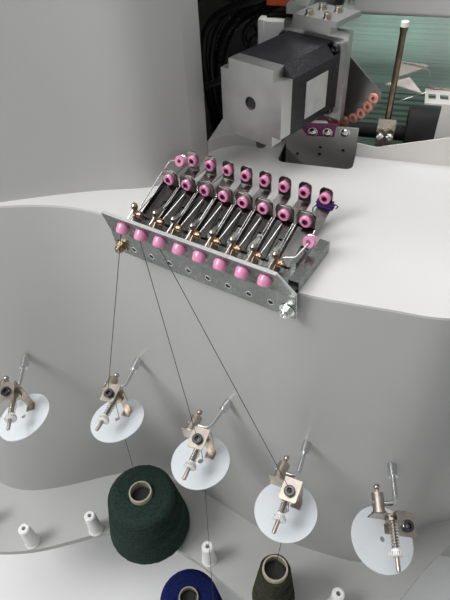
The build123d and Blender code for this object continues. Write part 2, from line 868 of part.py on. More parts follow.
def wound_cone(radii):
    """Cross-wound yarn on its core, standing at z = 0."""
    z0, z1 = core_tail, core_length - core_nose
    low = core_base_radius + (core_nose_radius - core_base_radius) * z0 / core_length + wind_gap
    high = core_base_radius + (core_nose_radius - core_base_radius) * z1 / core_length + wind_gap
    r0, r1 = radii
    crown = min(wind_crown, (r1 - high) * 0.6)
    heel = min(wind_heel, (r0 - low) * 0.6)
    return turned([(low, z0), (r0 - heel, z0), (r0, z0 + heel), (r1, z1 - crown * 0.75),
                   (r1 - crown, z1), (high, z1)])


def make_creel():
    """Pegs, paper cores and yarn cones."""
    pegs = []
    profile = [(peg_hole_radius, 0), (peg_foot_radius, 0), (peg_foot_radius, 3),
               (peg_foot_radius - 1.5, 5), (peg_top_radius, peg_height - 2),
               (peg_top_radius - 2, peg_height), (peg_hole_radius, peg_height)]
    for x, y in peg_spots:
        pegs.append(turned(profile).moved(Location((x, y, shelf_height))))
    keep("cone_pegs", *pegs)

    green = (*green_spot, shelf_height)
    olive = (*olive_spot, shelf_height)
    blue = (*blue_spot, 0)
    w = core_wall
    core = turned([(core_base_radius - w, 0), (core_base_radius, 0), (core_nose_radius, core_length),
                   (core_nose_radius - w, core_length)])
    keep("cone_cores", *[core.moved(Location(spot)) for spot in (green, blue, olive)])
    keep("yarn_cone_green", wound_cone(green_radii).moved(Location(green)))
    keep("yarn_cone_blue", wound_cone(blue_radii).moved(Location(blue)))
    keep("yarn_cone_olive", wound_cone(olive_radii).moved(Location(olive)))


def eye_tilt():
    return math.degrees(math.atan2(eye_droop, eye_reach))


def arm_place(tensioner):
    """Frame of a tensioner's clamp: its origin is where the rod's end crosses the clamp."""
    x, y, z, bearing, _, swing, nod, _ = tensioner
    bend = Location((x, y, z), (0, 0, bearing)) * Location((0, -rod_reach, 0), (0, 0, swing))
    return bend * Location((-clamp_offset, 0, 0), (nod, 0, 0))


def head_place(tensioner):
    """Frame of the head, rolled about the clamp."""
    return arm_place(tensioner) * Location((0, 0, 0), (0, tensioner[-1], 0))


def eye_plane():
    """Frame of the eyelet in the head bracket: z stands square to the tilted plate."""
    out = clamp_front + clamp_flange + eye_centre
    z = eye_rise - eye_droop * eye_centre / eye_reach - bracket_sheet / 2
    return Location((eye_x, -out, z), (eye_tilt(), 0, 0))


def disc_middle(drop):
    return Location((disc_x, -disc_out, -disc_drop - drop))


def head_bracket():
    """Folded bracket: back plate, tilted eyelet plate and the leg to the balloon disc."""
    y0 = -(clamp_front + clamp_flange)
    t = bracket_sheet
    low, high = bracket_low, bracket_high
    half = eye_width / 2
    plate = block((bracket_left, eye_x + half), (y0 - t, y0), (low, high))
    lug = [(y0, high), (y0, eye_rise), (y0 - eye_reach, eye_rise - eye_droop),
           (y0 - eye_reach, eye_rise - eye_droop - t), (y0 - t, eye_rise - t), (y0 - t, high)]
    ear = side_profile(lug, eye_x - half, eye_x + half)
    tips = [e for e in ear.edges().filter_by(Axis.Z) if e.center().Y < y0 - eye_reach + 0.5]
    plate += fillet(tips, 3) if tips else ear
    leg = [(y0, low), (y0, -disc_drop), (y0 - leg_reach, -disc_drop),
           (y0 - leg_reach, -disc_drop + t), (y0 - t, -disc_drop + t), (y0 - t, low)]
    plate += side_profile(leg, leg_x - leg_width / 2, leg_x + leg_width / 2)
    return plate - eye_plane() * eyelet_hole(t)


def tension_post(plate_face):
    """Slotted post with its two tension discs and nut, and the spring between them."""
    stud = rod((stud_x, plate_face, stud_z), (stud_x, -post_end, stud_z), post_radius)
    stud -= block((stud_x - 0.5, stud_x + 0.5), (-post_end, -post_end + post_slot),
                  (stud_z - 4, stud_z + 4))
    pieces = [stud]
    out = plate_face - slide_gap
    for _ in range(2):
        pieces.append(tube((stud_x, out, stud_z), (stud_x, out - pinch_thick, stud_z), pinch_radius,
                           post_radius + running))
        out -= pinch_thick + slide_gap
    length = spring_pitch * spring_turns
    coil = Helix(pitch=spring_pitch, height=length, radius=spring_radius)
    start = Plane(origin=coil @ 0, z_dir=coil % 0)
    wire = sweep(start * Circle(spring_wire), path=coil, is_frenet=True)
    spring = Location((stud_x, out - spring_wire, stud_z), (90, 0, 0)) * wire
    out -= length + spring_wire * 2 + slide_gap
    nut = rod((stud_x, out, stud_z), (stud_x, out - nut_hub, stud_z), nut_hub_radius)
    nut += rod((stud_x, out - nut_hub, stud_z), (stud_x, out - nut_hub - nut_length, stud_z),
               nut_radius)
    nut -= rod((stud_x, out + 1, stud_z), (stud_x, out - nut_hub - nut_length - 1, stud_z),
               post_radius + running)
    pieces.append(nut)
    return pieces, spring


def make_tensioners():
    """Five yarn tensioners on the apron."""
    rods, clamps, brackets, eyes, posts, springs, discs = [], [], [], [], [], [], []
    y0 = -(clamp_front + clamp_flange)
    post_pieces, spring = tension_post(y0 - bracket_sheet)
    clamp = rod((0, clamp_back, 0), (0, -clamp_front, 0), clamp_radius)
    clamp += rod((0, -clamp_front, 0), (0, y0, 0), clamp_flange_radius)
    clamp += rod((0, clamp_back, 0), (0, clamp_back + ball_neck, 0), ball_neck_radius)
    clamp += Pos(0, clamp_back + ball_neck + ball_radius * 0.8, 0) * Sphere(ball_radius)
    clamp -= rod((-clamp_radius * 2, 0, 0), (clamp_radius * 2, 0, 0), rod_radius + running)
    disc = disc_middle(disc_thick / 2) * Cylinder(disc_radius, disc_thick)
    disc -= disc_middle(0) * Cylinder(disc_hole_radius, disc_thick * 3)
    for tensioner in tensioners:
        x, y, z, bearing, seat, swing, _, _ = tensioner
        place = Location((x, y, z), (0, 0, bearing))
        reach = clamp_offset + clamp_radius
        turn = math.radians(swing)
        end = (-reach * math.cos(turn), -rod_reach - reach * math.sin(turn), 0)
        bent = swept([(0, seat, 0), (0, -rod_reach, 0), end], rod_radius, rod_bend)
        sleeve = rod((0, seat, 0), (0, -sleeve_out, 0), sleeve_radius)
        rods.append(place * (bent + sleeve))
        clamps.append(arm_place(tensioner) * clamp)
        head = head_place(tensioner)
        brackets.append(head * head_bracket())
        eyes.append(head * eye_plane() * eyelet(bracket_sheet))
        posts.extend(head * piece for piece in post_pieces)
        springs.append(head * spring)
        discs.append(head * disc)
    keep("tension_rods", *rods)
    keep("tension_clamps", *clamps)
    keep("tension_brackets", *brackets)
    keep("tension_posts", *posts)
    keep("tension_springs", *springs)
    keep("balloon_discs", *discs)
    return eyes


def plate_lean():
    """Lean of the feeder's upper flange towards the operator."""
    return math.degrees(math.atan2(fold_t - plate_top_t, plate_top_z - fold_z))


def front_eye(i):
    """Frame of a front eyelet: z is square to the leaning flange."""
    t = fold_t - (front_eye_z - fold_z) * math.tan(math.radians(plate_lean()))
    t += plate_sheet / 2 / math.cos(math.radians(plate_lean()))
    return Location((lane_s(i), t, front_eye_z), (90 + plate_lean(), 0, 0))


def leaf_eye(i):
    """Frame of a leaf eyelet, level and pointing at the operator."""
    return Location((lane_s(i), leaf_head_t + leaf_sheet / 2, row_eye_z), (90, 0, 0))


def tab_eye(i):
    return Location((lane_s(i), tab_head_t + leaf_sheet / 2, row_eye_z), (90, 0, 0))


def bolt_place(s):
    """Frame of a feeder bolt: it enters along y, square to the plate's lower face."""
    slope = (plate_low_t - fold_t) / (fold_z - plate_sheet - plate_low_z)
    t = fold_t + (fold_z - plate_sheet - bolt_z) * slope
    return Location((s, t, bolt_z), (math.degrees(math.atan(slope)), 0, 0))


def bolt_bore(s):
    return bolt_place(s) * rod((0, -5, 0), (0, bolt_reach + 5, 0), bolt_shank_radius + running)


def feeder_plate():
    """Folded front plate: leaning flange with eyelets over a lower face with holes."""
    c = plate_sheet
    outline = [(fold_t, fold_z - c), (plate_low_t, plate_low_z), (plate_low_t + c, plate_low_z),
               (fold_t + c, fold_z - c), (fold_t + c, fold_z), (plate_top_t + c, plate_top_z),
               (plate_top_t, plate_top_z), (fold_t, fold_z)]
    plate = side_profile(outline, plate_left, plate_right)
    plate -= front_profile([(plate_right - corner_cut, plate_top_z + 1),
                            (plate_right + 1, plate_top_z + 1),
                            (plate_right + 1, plate_top_z - corner_cut * 1.4)], -20, 20)
    for i in range(lanes):
        plate -= front_eye(i) * eyelet_hole(c)
        s = lane_s(i) + low_hole_s
        plate -= rod((s, -5, low_hole_z), (s, 25, low_hole_z), low_hole_radius)
    for s in bolt_s:
        plate -= bolt_bore(s)
    return plate


def leaf(foot_t, head_t, head_z, width):
    """Strip that rises from the tray to an upright head with rounded corners."""
    t, half = leaf_sheet, width / 2
    base = deck_height + tray_sheet
    top = leaf_head_z + leaf_head
    line = [(foot_t, base), (foot_t, base + t), (head_t, head_z), (head_t, top), (head_t + t, top),
            (head_t + t, head_z - t), (foot_t + t * 2, base)]
    strip = side_profile(line, -half, half)
    corners = [e for e in strip.edges().filter_by(Axis.Y) if e.center().Z > top - 0.1]
    return fillet(corners, min(leaf_corner, half * 0.7))


def front_leaf():
    """Front leaf with its raised lip, cut back at the right of its foot."""
    half = leaf_width / 2
    cut = block((leaf_notch_s, half + 1), (leaf_foot_t - 1, leaf_notch_t),
                (deck_height, leaf_head_z + leaf_head))
    return leaf(leaf_foot_t, leaf_head_t, leaf_head_z, leaf_width) + leaf_lip_strip() - cut


def leaf_lip_strip():
    """Raised lip along the left side of a front leaf."""
    base = deck_height + tray_sheet + leaf_sheet
    half = leaf_width / 2
    line = [(leaf_foot_t, base), (leaf_head_t, leaf_head_z), (leaf_head_t, leaf_head_z + leaf_lip),
            (leaf_foot_t, base + leaf_lip)]
    return side_profile(line, -half, -half + leaf_lip_width)


def make_feeder():
    """Eight-lane yarn feeder on the deck."""
    keep("feeder_plate", feeder * feeder_plate())

    base = deck_height + tray_sheet
    t0, (t1, t2) = plate_low_t + plate_sheet, tray_narrow
    outline = [(tray_left, t0), (tray_right, t0), (tray_right, tray_back),
               (tray_narrow_left, tray_back), (tray_narrow_left, t2), (tray_left, t1)]
    tray = extrude(make_face(Polyline(*raised(outline, deck_height), close=True)),
                   amount=tray_sheet)
    for i in range(lanes):
        s = lane_s(i) + rib_s
        tray += block((s - rib_width / 2, s + rib_width / 2), (rib_front, rib_back),
                      (base, base + rib_height))
    tray += block((rail_left, rail_left + rail_width), (rail_front, rail_back),
                  (deck_height, base + rail_height))
    keep("feeder_tray", feeder * tray)

    leaves, tabs, eyes = [], [], []
    for i in range(lanes):
        lane = Pos(lane_s(i), 0, 0)
        leaves.append(feeder * (lane * front_leaf() - leaf_eye(i) * eyelet_hole(leaf_sheet)))
        rear = leaf(tab_foot_t, tab_head_t, tab_head_z, tab_width)
        tabs.append(feeder * (lane * rear - tab_eye(i) * eyelet_hole(leaf_sheet)))
        eyes.append(feeder * front_eye(i) * eyelet(plate_sheet))
        eyes.append(feeder * leaf_eye(i) * eyelet(leaf_sheet))
        eyes.append(feeder * tab_eye(i) * eyelet(leaf_sheet))
    keep("feeder_leaves", *leaves)
    keep("feeder_tabs", *tabs)

    posts = []
    for i in range(lanes):
        s = pivot_s(i)
        post = rod((s, pivot_t, base), (s, pivot_t, pivot_z + 9), pivot_post_radius)
        post += Pos(s, pivot_t, pivot_z + 10) * Sphere(pivot_post_radius * 1.3)
        post += rod((s, pivot_t, pivot_z), (s + pivot_post_radius + hub_length + 1.2, pivot_t, pivot_z),
                    pivot_pin_radius)
        posts.append(feeder * post)
    for s in bolt_s:
        place = feeder * bolt_place(s)
        bolt = rod((0, -bolt_washer, 0), (0, -bolt_washer - bolt_head, 0), bolt_radius)
        bolt += rod((0, -bolt_washer, 0), (0, bolt_reach, 0), bolt_shank_radius)
        washer = tube((0, 0, 0), (0, -bolt_washer, 0), bolt_washer_radius,
                      bolt_shank_radius + running)
        posts.append(place * (bolt + washer))
    keep("feeder_fasteners", *posts)
    return eyes


def pivot_s(i):
    """Place of a lane's pivot post along the row."""
    return lane_s(i) - (pivot_side if i else first_pivot_side)


def lever_points(i):
    """Wire route of a lane's lever, from its pivot to its tip."""
    s = lane_s(i)
    t, z = pivot_t, pivot_z
    hub = pivot_s(i) + pivot_post_radius + 0.4 + hub_length / 2
    if i == 0:
        side = s - leaf_width / 2 - lever_side
        return [(hub, t, z), (side, t + 9, z + 4), (side, t + 56, z + 25), (side, t + 70, z + 30.5),
                (s - 4.2, t + 77, z + 30.5)]
    if i == lanes - 1:
        return [(hub, t, z), (hub + 1, t + 3, z + 6), (s + 11, t + 6, z + 9), (s + 16.5, t + 22, z + 17)]
    return [(hub, t, z), (s - 1, t + 8, z + 3), (s, lever_reach_t, lever_reach_z)]


def make_levers():
    """One spring lever for each lane; the first stands raised and the last lies low."""
    for i in range(lanes):
        points = lever_points(i)
        shape = swept(points, lever_wire, 2.5)
        s, t, z = points[0]
        half = hub_length / 2
        hub = tube((s - half, t, z), (s + half, t, z), hub_radius, pivot_pin_radius + running)
        shape = shape + hub
        shape -= rod((s - half, t, z), (s + half, t, z), pivot_pin_radius + running)
        tip = points[-1]
        if i in (0, lanes - 1):
            aim = Location((tip[0] + (4.2 if i == 0 else 0.0), tip[1] + (0 if i == 0 else 4.2),
                            tip[2]), (70, 0, 0))
            shape += aim * turned([(eyelet_bore, -4.6), (eyelet_radius, -4.6), (eyelet_radius, -1.6),
                                   (eyelet_waist, -0.8), (eyelet_waist, 0.8), (eyelet_radius, 1.6),
                                   (eyelet_radius, 4.6), (eyelet_bore, 4.6)])
        keep(f"yarn_lever_{i + 1}", feeder * shape)


def corner_bolts(radius):
    """Four round bars through the motor's corners, in the selector frame."""
    found = []
    for a in (-motor_bolt_offset, motor_bolt_offset):
        for b in (-motor_bolt_offset, motor_bolt_offset):
            found.append(rod((a, motor_stack_end, b), (a, motor_flange_end + mount_thick, b), radius))
    return found


def fan_angle(i):
    return math.radians(fan_first + fan_step * i)


def fan_sector():
    """Sector plate that carries the yarns past the shed, about the motor shaft."""
    margin = math.radians(fan_margin)
    a0 = fan_angle(0) + margin
    a1 = fan_angle(lanes - 1) - margin
    middle = (a0 + a1) / 2
    rim = [(fan_radius * math.cos(a), fan_plane, fan_radius * math.sin(a)) for a in (a0, middle, a1)]
    heel = []
    for turn in (math.pi / 2.2, -math.pi / 2.2):
        angle = middle + turn
        heel.append((fan_hub_radius * 2.2 * math.cos(angle), fan_plane,
                     fan_hub_radius * 2.2 * math.sin(angle)))
    top = (-fan_hub_radius * 1.6 * math.cos(middle), fan_plane,
           -fan_hub_radius * 1.6 * math.sin(middle))
    edges = [ThreePointArc(*rim), Line(rim[2], heel[1]), Line(heel[1], top), Line(top, heel[0]),
             Line(heel[0], rim[0])]
    plate = extrude(make_face(edges), amount=fan_sheet, dir=(0, 1, 0))
    for i in range(lanes):
        plate -= fan_eye(i) * eyelet_hole(fan_sheet, waist=fan_eye_outer * 0.7)
    return plate


def fan_eye(i):
    a = fan_angle(i)
    return Location((fan_eye_radius * math.cos(a), fan_plane + fan_sheet / 2,
                     fan_eye_radius * math.sin(a)), (90, 0, 0))


def make_selector():
    """Stepper motor, its mount, the yarn fan on its shaft and the plate below."""
    m, n = motor_half, motor_notch
    cap = block((-m, m), (0, motor_cap), (-m, m))
    for a in (-m, m):
        for b in (-m, m):
            cap -= block(sorted((a, a * (1 - n / m))), (-1, motor_cap + 1),
                         sorted((b, b * (1 - n / m))))
    cap = cap - rod((0, -1, 0), (0, 12, 0), motor_rear_hole)
    keep("motor_rear_cap", selector * cap)

    stack = block((-m, m), (motor_cap, motor_stack_end), (-m, m))
    stack = chamfer(stack.edges().filter_by(Axis.Y), stack_corner)
    for a in (-motor_bolt_offset, motor_bolt_offset):
        for b in (-motor_bolt_offset, motor_bolt_offset):
            stack -= rod((a, motor_stack_end - stack_scoop, b), (a, motor_stack_end, b),
                         stack_scoop_radius)
    keep("motor_stack", selector * stack)

    flange = block((-m, m), (motor_stack_end, motor_flange_end), (-m, m))
    flange = fillet(flange.edges().filter_by(Axis.Y), 4)
    flange -= rod((0, motor_stack_end, 0), (0, motor_flange_end, 0), motor_shaft_radius + running)
    for bar in corner_bolts(motor_bolt_radius + running):
        flange -= bar
    keep("motor_flange", selector * flange)

    y0, y1 = motor_flange_end, motor_flange_end + mount_thick
    mount = block((-mount_half, mount_half), (y0, y1), (mount_low, mount_high))
    low, under, top = top_z
    mount += block((top_x[0], top_right_x), top_y, (under, top))
    mount += block(top_x, (top_y[0], top_y[0] + top_block), (low, under))
    mount += block((top_x[0], top_x[1] - top_block), (top_y[0] + top_block, y1), (mount_high, under))
    for x, y in top_screws:
        mount += Pos(x, y, top + top_screw_height / 2) * Cylinder(top_screw_radius, top_screw_height)
        mount -= Pos(x, y, top + top_screw_height) * extrude(
            RegularPolygon(top_socket, 6), amount=-top_screw_height / 2)
    mount -= rod((0, y0, 0), (0, y1, 0), motor_pilot_radius)
    for bar in corner_bolts(motor_bolt_radius + running):
        mount -= bar
    mount = selector * mount
    arm_x = (frame_left_x - side_plate, frame_left_x - side_plate + mount_arm_width)
    mount += block(arm_x, (mount_arm_front, frame_step_y),
                   tuple(deck_height + rise for rise in mount_arm_rise))
    bolts = []
    for a in (-motor_bolt_offset, motor_bolt_offset):
        for b in (-motor_bolt_offset, motor_bolt_offset):
            head = motor_stack_end - motor_bolt_length
            bolt = rod((a, head, b), (a, motor_stack_end, b), motor_bolt_head)
            bolt -= rod((a, head, b), (a, head + motor_bolt_length / 2, b), motor_bolt_head * 0.5)
            bolt += rod((a, motor_stack_end, b), (a, y1, b), motor_bolt_radius)
            bolts.append(selector * bolt)
    keep("motor_mount", mount, *bolts)

    y2 = fan_plane
    fan = fan_sector() + rod((0, y1 + 3, 0), (0, fan_plane + fan_sheet + 2, 0), fan_hub_radius)
    fan += rod((0, motor_stack_end + slide_gap, 0), (0, y2, 0), motor_shaft_radius)
    keep("selector_fan", selector * fan)
    keep("fan_eyelets", *[selector * fan_eye(i) * eyelet(
        fan_sheet, outer=fan_eye_outer, waist=fan_eye_outer * 0.7) for i in range(lanes)])

    y = guide_plate_y
    left, right = frame_left_x + guide_plate_left, notch_right_x - 1
    z0, z1 = deck_height + guide_plate_rise[0], deck_height + guide_plate_rise[1]
    shoulder = deck_height + guide_plate_notch
    plate = block((left, right), (y, y + sheet), (z0, z1))
    feet = [e for e in plate.edges().filter_by(Axis.Y) if e.center().Z < z0 + 0.1]
    plate = fillet(feet, guide_plate_corner)
    plate += block((frame_left_x, left), (y, y + sheet), (shoulder, z1))
    plate += block((frame_left_x, frame_left_x + 2), (y, y + guide_plate_return),
                   (z0, frame_front_z - 10))
    for x, rise in guide_holes:
        z = deck_height + rise
        plate -= rod((x, y - 1, z), (x, y + sheet + 1, z), guide_hole_radius)
    plate += block(strip_x, (y - strip_thick, y), tuple(deck_height + rise for rise in strip_rise))
    for x, rise in dome_spots:
        z = deck_height + rise
        front = y - strip_thick if strip_x[0] < x < strip_x[1] else y
        plate += Pos(x, front, z) * Sphere(dome_radius) & block(
            (x - 9, x + 9), (front - 9, front + 0.5), (z - 9, z + 9))
    keep("selector_plate", plate)


def make_weaving():
    """Cloth and warp path, rollers, sley, heald frames, rapier and gripper."""
    x0, x1 = cloth_left, cloth_right
    bars = [rod((frame_left_x, *c), (frame_right_x, *c), r)
            for c, r in ((breast_centre, breast_radius), (rest_centre, rest_radius))]
    keep("cloth_bars", *bars)

    journal = side_plate * 0.7
    ends = (frame_left_x - journal, frame_right_x + journal)

    def shaft(centre, radius):
        return rod((ends[0], *centre), (ends[1], *centre), radius)

    keep("take_up_roller", shaft(take_up_centre, take_up_shaft)
         + rod((take_up_left, *take_up_centre), (cloth_right, *take_up_centre), take_up_radius))
    roll = tube((x0, *cloth_roll_centre), (x1, *cloth_roll_centre), cloth_roll_radius,
                cloth_tube_radius + wind_gap)
    core = shaft(cloth_roll_centre, cloth_shaft) + rod(
        (x0 - 8, *cloth_roll_centre), (x1 + 8, *cloth_roll_centre), cloth_tube_radius)
    keep("cloth_roller", core, roll)

    f = beam_flange_thick
    spool = shaft(beam_centre, beam_shaft) + rod((x0, *beam_centre), (x1, *beam_centre), beam_barrel)
    spool += rod((x0 - f, *beam_centre), (x0, *beam_centre), beam_flange)
    spool += rod((x1, *beam_centre), (x1 + f, *beam_centre), beam_flange)
    wound = tube((x0 + seam, *beam_centre), (x1 - seam, *beam_centre), beam_wound,
                 beam_barrel + wind_gap)
    keep("warp_beam", spool, wound)

    h = cloth_thick / 2
    cloth = band([(fell, 0, 1), (breast_centre, breast_radius + 0.1 + h, 1),
                  (take_up_centre, take_up_radius + roller_gap + h, -1),
                  (cloth_roll_centre, cloth_roll_radius + roller_gap + h, 1)],
                 cloth_thick, x0, x1)
    keep("cloth", cloth)

    h = warp_thick / 2
    warp = band([(beam_centre, beam_wound + roller_gap + h, 1),
                 (rest_centre, rest_radius + 0.1 + h, 1), ((fell[0] + seam, fell[1]), 0, 1)], warp_thick,
                x0 + seam, x1 - seam)
    pitch = cloth_width / (warp_ends + 1)
    cutter_y = (fell[0] + warp_slot_margin, rest_centre[0] - warp_slot_margin * 2)
    for i in range(warp_ends):
        x = x0 + pitch * (i + 1)
        warp -= block((x - warp_slot / 2, x + warp_slot / 2), cutter_y, (fell[1] - 6, fell[1] + 6))
    keep("warp_sheet", warp)

    make_sley(pitch)
    make_healds(pitch)

    y, z = rapier_centre
    head = block((rapier_start - rapier_head, rapier_start),
                 (y - rapier_head_width / 2, y + rapier_head_width / 2),
                 (z - rapier_head_height / 2, z + rapier_head_height / 2))
    lance = rod((rapier_start - rapier_length, y, z), (rapier_start - rapier_head, y, z),
                rapier_radius)
    keep("rapier", head + lance)


def make_sley(pitch):
    """Rocking sley: shaft, two swords, beam and reed in one welded piece."""
    y, z = sley_centre
    x0, x1 = cloth_left - sley_edge, cloth_right + sley_edge
    journal = side_plate * 0.7
    sley = rod((frame_left_x - journal, y, z), (frame_right_x + journal, y, z), sley_shaft)
    half = sley_sword / 2
    for x in (x0, x1 - sley_sword):
        sley += block((x, x + sley_sword), (y - half, y + half), (z, sley_beam_z[0]))
    sley += block((x0, x1), (y - sley_beam_half, y + sley_beam_half), sley_beam_z)
    reed = block((x0, x1), (y - reed_half, y + reed_half), (sley_beam_z[1], reed_top_z + reed_baulk))
    reed -= block((x0 + reed_post - 2, x1 - reed_post + 2), (y - reed_half, y + reed_half),
                  (sley_beam_z[1], reed_top_z))
    dents = []
    for i in range(warp_ends):
        x = cloth_left + pitch * (i + 1)
        dents.append(block((x - dent_width / 2, x + dent_width / 2), (y - reed_half, y + reed_half),
                           (sley_beam_z[1], reed_top_z)))
    keep("sley", sley.fuse(reed, *dents))


def make_healds(pitch):
    """Heald frames: two sets that rise and fall against each other."""
    x0 = frame_left_x + heald_inset
    x1 = frame_right_x - heald_inset
    sets = ([], [])
    for n in range(heald_frames):
        y = heald_first_y + heald_pitch * n
        deep = (y - heald_thick / 2, y + heald_thick / 2)
        frame = block((x0, x1), deep, (heald_low_z, heald_high_z))
        frame -= block((x0 + heald_post, x1 - heald_post), deep,
                       (heald_low_z + heald_bar, heald_high_z - heald_bar))
        wires = []
        for i in range(n % 2, warp_ends, 2):
            x = cloth_left + pitch * (i + 1)
            wires.append(block((x - heald_wire_width / 2, x + heald_wire_width / 2),
                               (y - heald_wire_thick / 2, y + heald_wire_thick / 2),
                               (heald_low_z + heald_bar, heald_high_z - heald_bar)))
        sets[n % 2].append(frame.fuse(*wires))
    keep("heald_frames_odd", *sets[0])
    keep("heald_frames_even", *sets[1])


def make_gripper():
    """Bracket, upright rod and bent strip that hold the weft at the cloth edge."""
    y0, y1 = gripper_y, gripper_y + gripper_sheet
    base = deck_under
    top = deck_height + gripper_top_rise
    rod_top = deck_height + gripper_rod_rise
    fence_back = deck_back_y + fence_sheet
    bracket = block(gripper_x, (fence_back, y1), (base - gripper_sheet, base))
    bracket += block(gripper_x, (y0, y1), (base, top))
    ry = y1 + gripper_rod_radius
    stand = rod((gripper_rod_x, ry, base), (gripper_rod_x, ry, rod_top - gripper_tip),
                gripper_rod_radius)
    stand += rod((gripper_rod_x, ry, rod_top - gripper_tip), (gripper_rod_x, ry, rod_top),
                 gripper_tip_radius)
    for x, rise in gripper_bolts:
        z = deck_height + rise
        bracket += rod((x, y0 - 4, z), (x, y0, z), 4)
    t = gripper_strip_thick
    line = [(x, deck_height + rise) for x, rise in gripper_strip]
    line += [(x, z - t) for x, z in line[::-1]]
    back = cover_y + ledge_depth
    strip = front_profile(line, back - gripper_strip_width, back)
    keep("thread_gripper", bracket + stand, strip)


def cord_radii(route):
    """Bend radius at each inner point, as large as the runs on both sides allow."""
    points = [Vector(*point) for point in route]
    radii = []
    for a, b, c in zip(points, points[1:], points[2:]):
        turn = math.radians((b - a).get_angle(c - b))
        radii.append(0.45 * min((b - a).length, (c - b).length) / math.tan(turn / 2))
    return radii


def make_lines(eyes):
    """Ceramic eyelets, motor cable and the yarns that the photograph shows."""
    keep("yarn_eyelets", *eyes)
    side = motor_half + cable_gap
    start = selector * Location((-side, *cable_start))
    lead = selector * Location((-side - cable_lead, *cable_start))
    route = [tuple(start.position), tuple(lead.position), *cable_route]
    radii = cord_radii(route)
    print("cable radii", [round(radius, 1) for radius in radii])
    keep("motor_cable", swept(route, cable_radius, radii))

    yarns = []
    lip = (eyelet_radius + eyelet_bore) / 2
    above_lip = eyelet_lip + yarn_radius + seam
    for lane, head in ((0, 1), (1, 2), (2, 3)):
        place = head_place(tensioners[head])
        low = (place * eye_plane() * Location((0, lip, bracket_sheet / 2 + above_lip))).position
        high = (feeder * front_eye(lane) * Location((0, -lip, plate_sheet / 2 + above_lip))).position
        yarns.append(rod(tuple(low), tuple(high), yarn_radius))
    above = core_length + 3
    noses = [(1, (*green_spot, shelf_height + above)),
             (2, (blue_spot[0] + blue_lean[0], blue_spot[1] + blue_lean[1], core_length + blue_lean[2])),
             (3, (*olive_spot, shelf_height + above))]
    for head, nose in noses:
        under = head_place(tensioners[head]) * disc_middle(disc_thick + yarn_radius + seam)
        under *= Location((disc_hole_radius + yarn_radius * 2, 0, 0))
        yarns.append(rod(tuple(under.position), nose, yarn_radius))
    keep("yarns", *yarns)


make_base()
make_side_frames()
make_left_housing()
make_right_housing()
make_wing()
make_bridge()
make_creel()
tension_eyes = make_tensioners()
feeder_eyes = make_feeder()
make_levers()
make_selector()
make_weaving()
make_gripper()
make_lines([*feeder_eyes, *tension_eyes])

to_middle = Location((-middle_x, -middle_y, 0))
for name, shape in parts.items():
    export_step(shape.moved(to_middle), f"parts/{name}.step")
print(len(parts), "nodes written")
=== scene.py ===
"""Sample weaving loom: materials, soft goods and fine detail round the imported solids."""
import bmesh
import bpy
import math
from mathutils import Matrix, Vector


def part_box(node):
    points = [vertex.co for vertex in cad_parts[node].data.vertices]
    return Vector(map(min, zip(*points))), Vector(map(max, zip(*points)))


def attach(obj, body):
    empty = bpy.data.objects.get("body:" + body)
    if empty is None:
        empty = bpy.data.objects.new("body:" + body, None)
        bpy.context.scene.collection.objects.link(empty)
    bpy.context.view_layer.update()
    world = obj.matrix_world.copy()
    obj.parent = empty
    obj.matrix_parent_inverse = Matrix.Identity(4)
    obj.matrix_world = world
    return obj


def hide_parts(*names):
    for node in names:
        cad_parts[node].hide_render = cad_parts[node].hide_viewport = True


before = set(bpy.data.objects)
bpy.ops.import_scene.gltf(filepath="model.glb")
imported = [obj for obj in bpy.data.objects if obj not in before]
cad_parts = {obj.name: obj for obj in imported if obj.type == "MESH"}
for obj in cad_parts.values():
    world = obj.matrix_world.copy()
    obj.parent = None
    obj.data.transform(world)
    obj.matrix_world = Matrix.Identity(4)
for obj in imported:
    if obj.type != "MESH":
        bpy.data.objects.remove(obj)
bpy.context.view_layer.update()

# Positions are in plan millimetres, and this moves them to the middle of the footprint
DATUM = Vector((-25, -880.7, 0))
MM = 0.001

# Camera of the photograph
CAMERA_AT = Vector((0, 0, 1200))
CAMERA_RIGHT = Vector((0.95725, 0.28647, -0.04003))
CAMERA_DOWN = Vector((0.17081, -0.67154, -0.72101))
CAMERA_AHEAD = Vector((-0.23343, 0.68335, -0.69177))
LENS_MM = 31.9
SENSOR_MM = 36

# Strength of the floor's glow and of the room's light, and the lamps: place, aim, size, power
# and spread in degrees
FLOOR_GLOW = 0.16
ROOM_LIGHT = 0.48
LAMPS = [("ceiling", (-1, -0.6, 3.2), (-0.1, -0.2, 0.6), 2, 31, 180),
         ("window", (-1.3, -1.3, 2), (-0.35, -0.3, 0.95), 0.7, 24, 180),
         ("bay", (0.12, -0.12, 1.75), (0.05, -0.1, 0.93), 0.4, 0.75, 80),
         ("rear", (1.2, 2.8, 2.8), (0, 0.2, 0.8), 1.8, 28, 180)]


# Materials

def new_material(name):
    """Material with its nodes and its shader."""
    material = bpy.data.materials.new(name)
    material.use_nodes = True
    nodes = material.node_tree.nodes
    return material, nodes, nodes["Principled BSDF"]


def set_inputs(node, values):
    """Set a node's inputs, or link them where the value is another node's output."""
    for name, value in values.items():
        if isinstance(value, bpy.types.NodeSocket):
            node.id_data.links.new(value, node.inputs[name])
        else:
            node.inputs[name].default_value = value


def new_node(nodes, kind, values):
    node = nodes.new("ShaderNode" + kind)
    set_inputs(node, values)
    return node


def object_coordinates(nodes, scale, place=(0, 0, 0)):
    """The object's own coordinates, scaled alike or by axis."""
    source = nodes.new("ShaderNodeTexCoord").outputs["Object"]
    scale = scale if hasattr(scale, "__len__") else (scale,) * 3
    mapping = new_node(nodes, "Mapping", {"Vector": source, "Scale": scale, "Location": place})
    return mapping.outputs["Vector"]


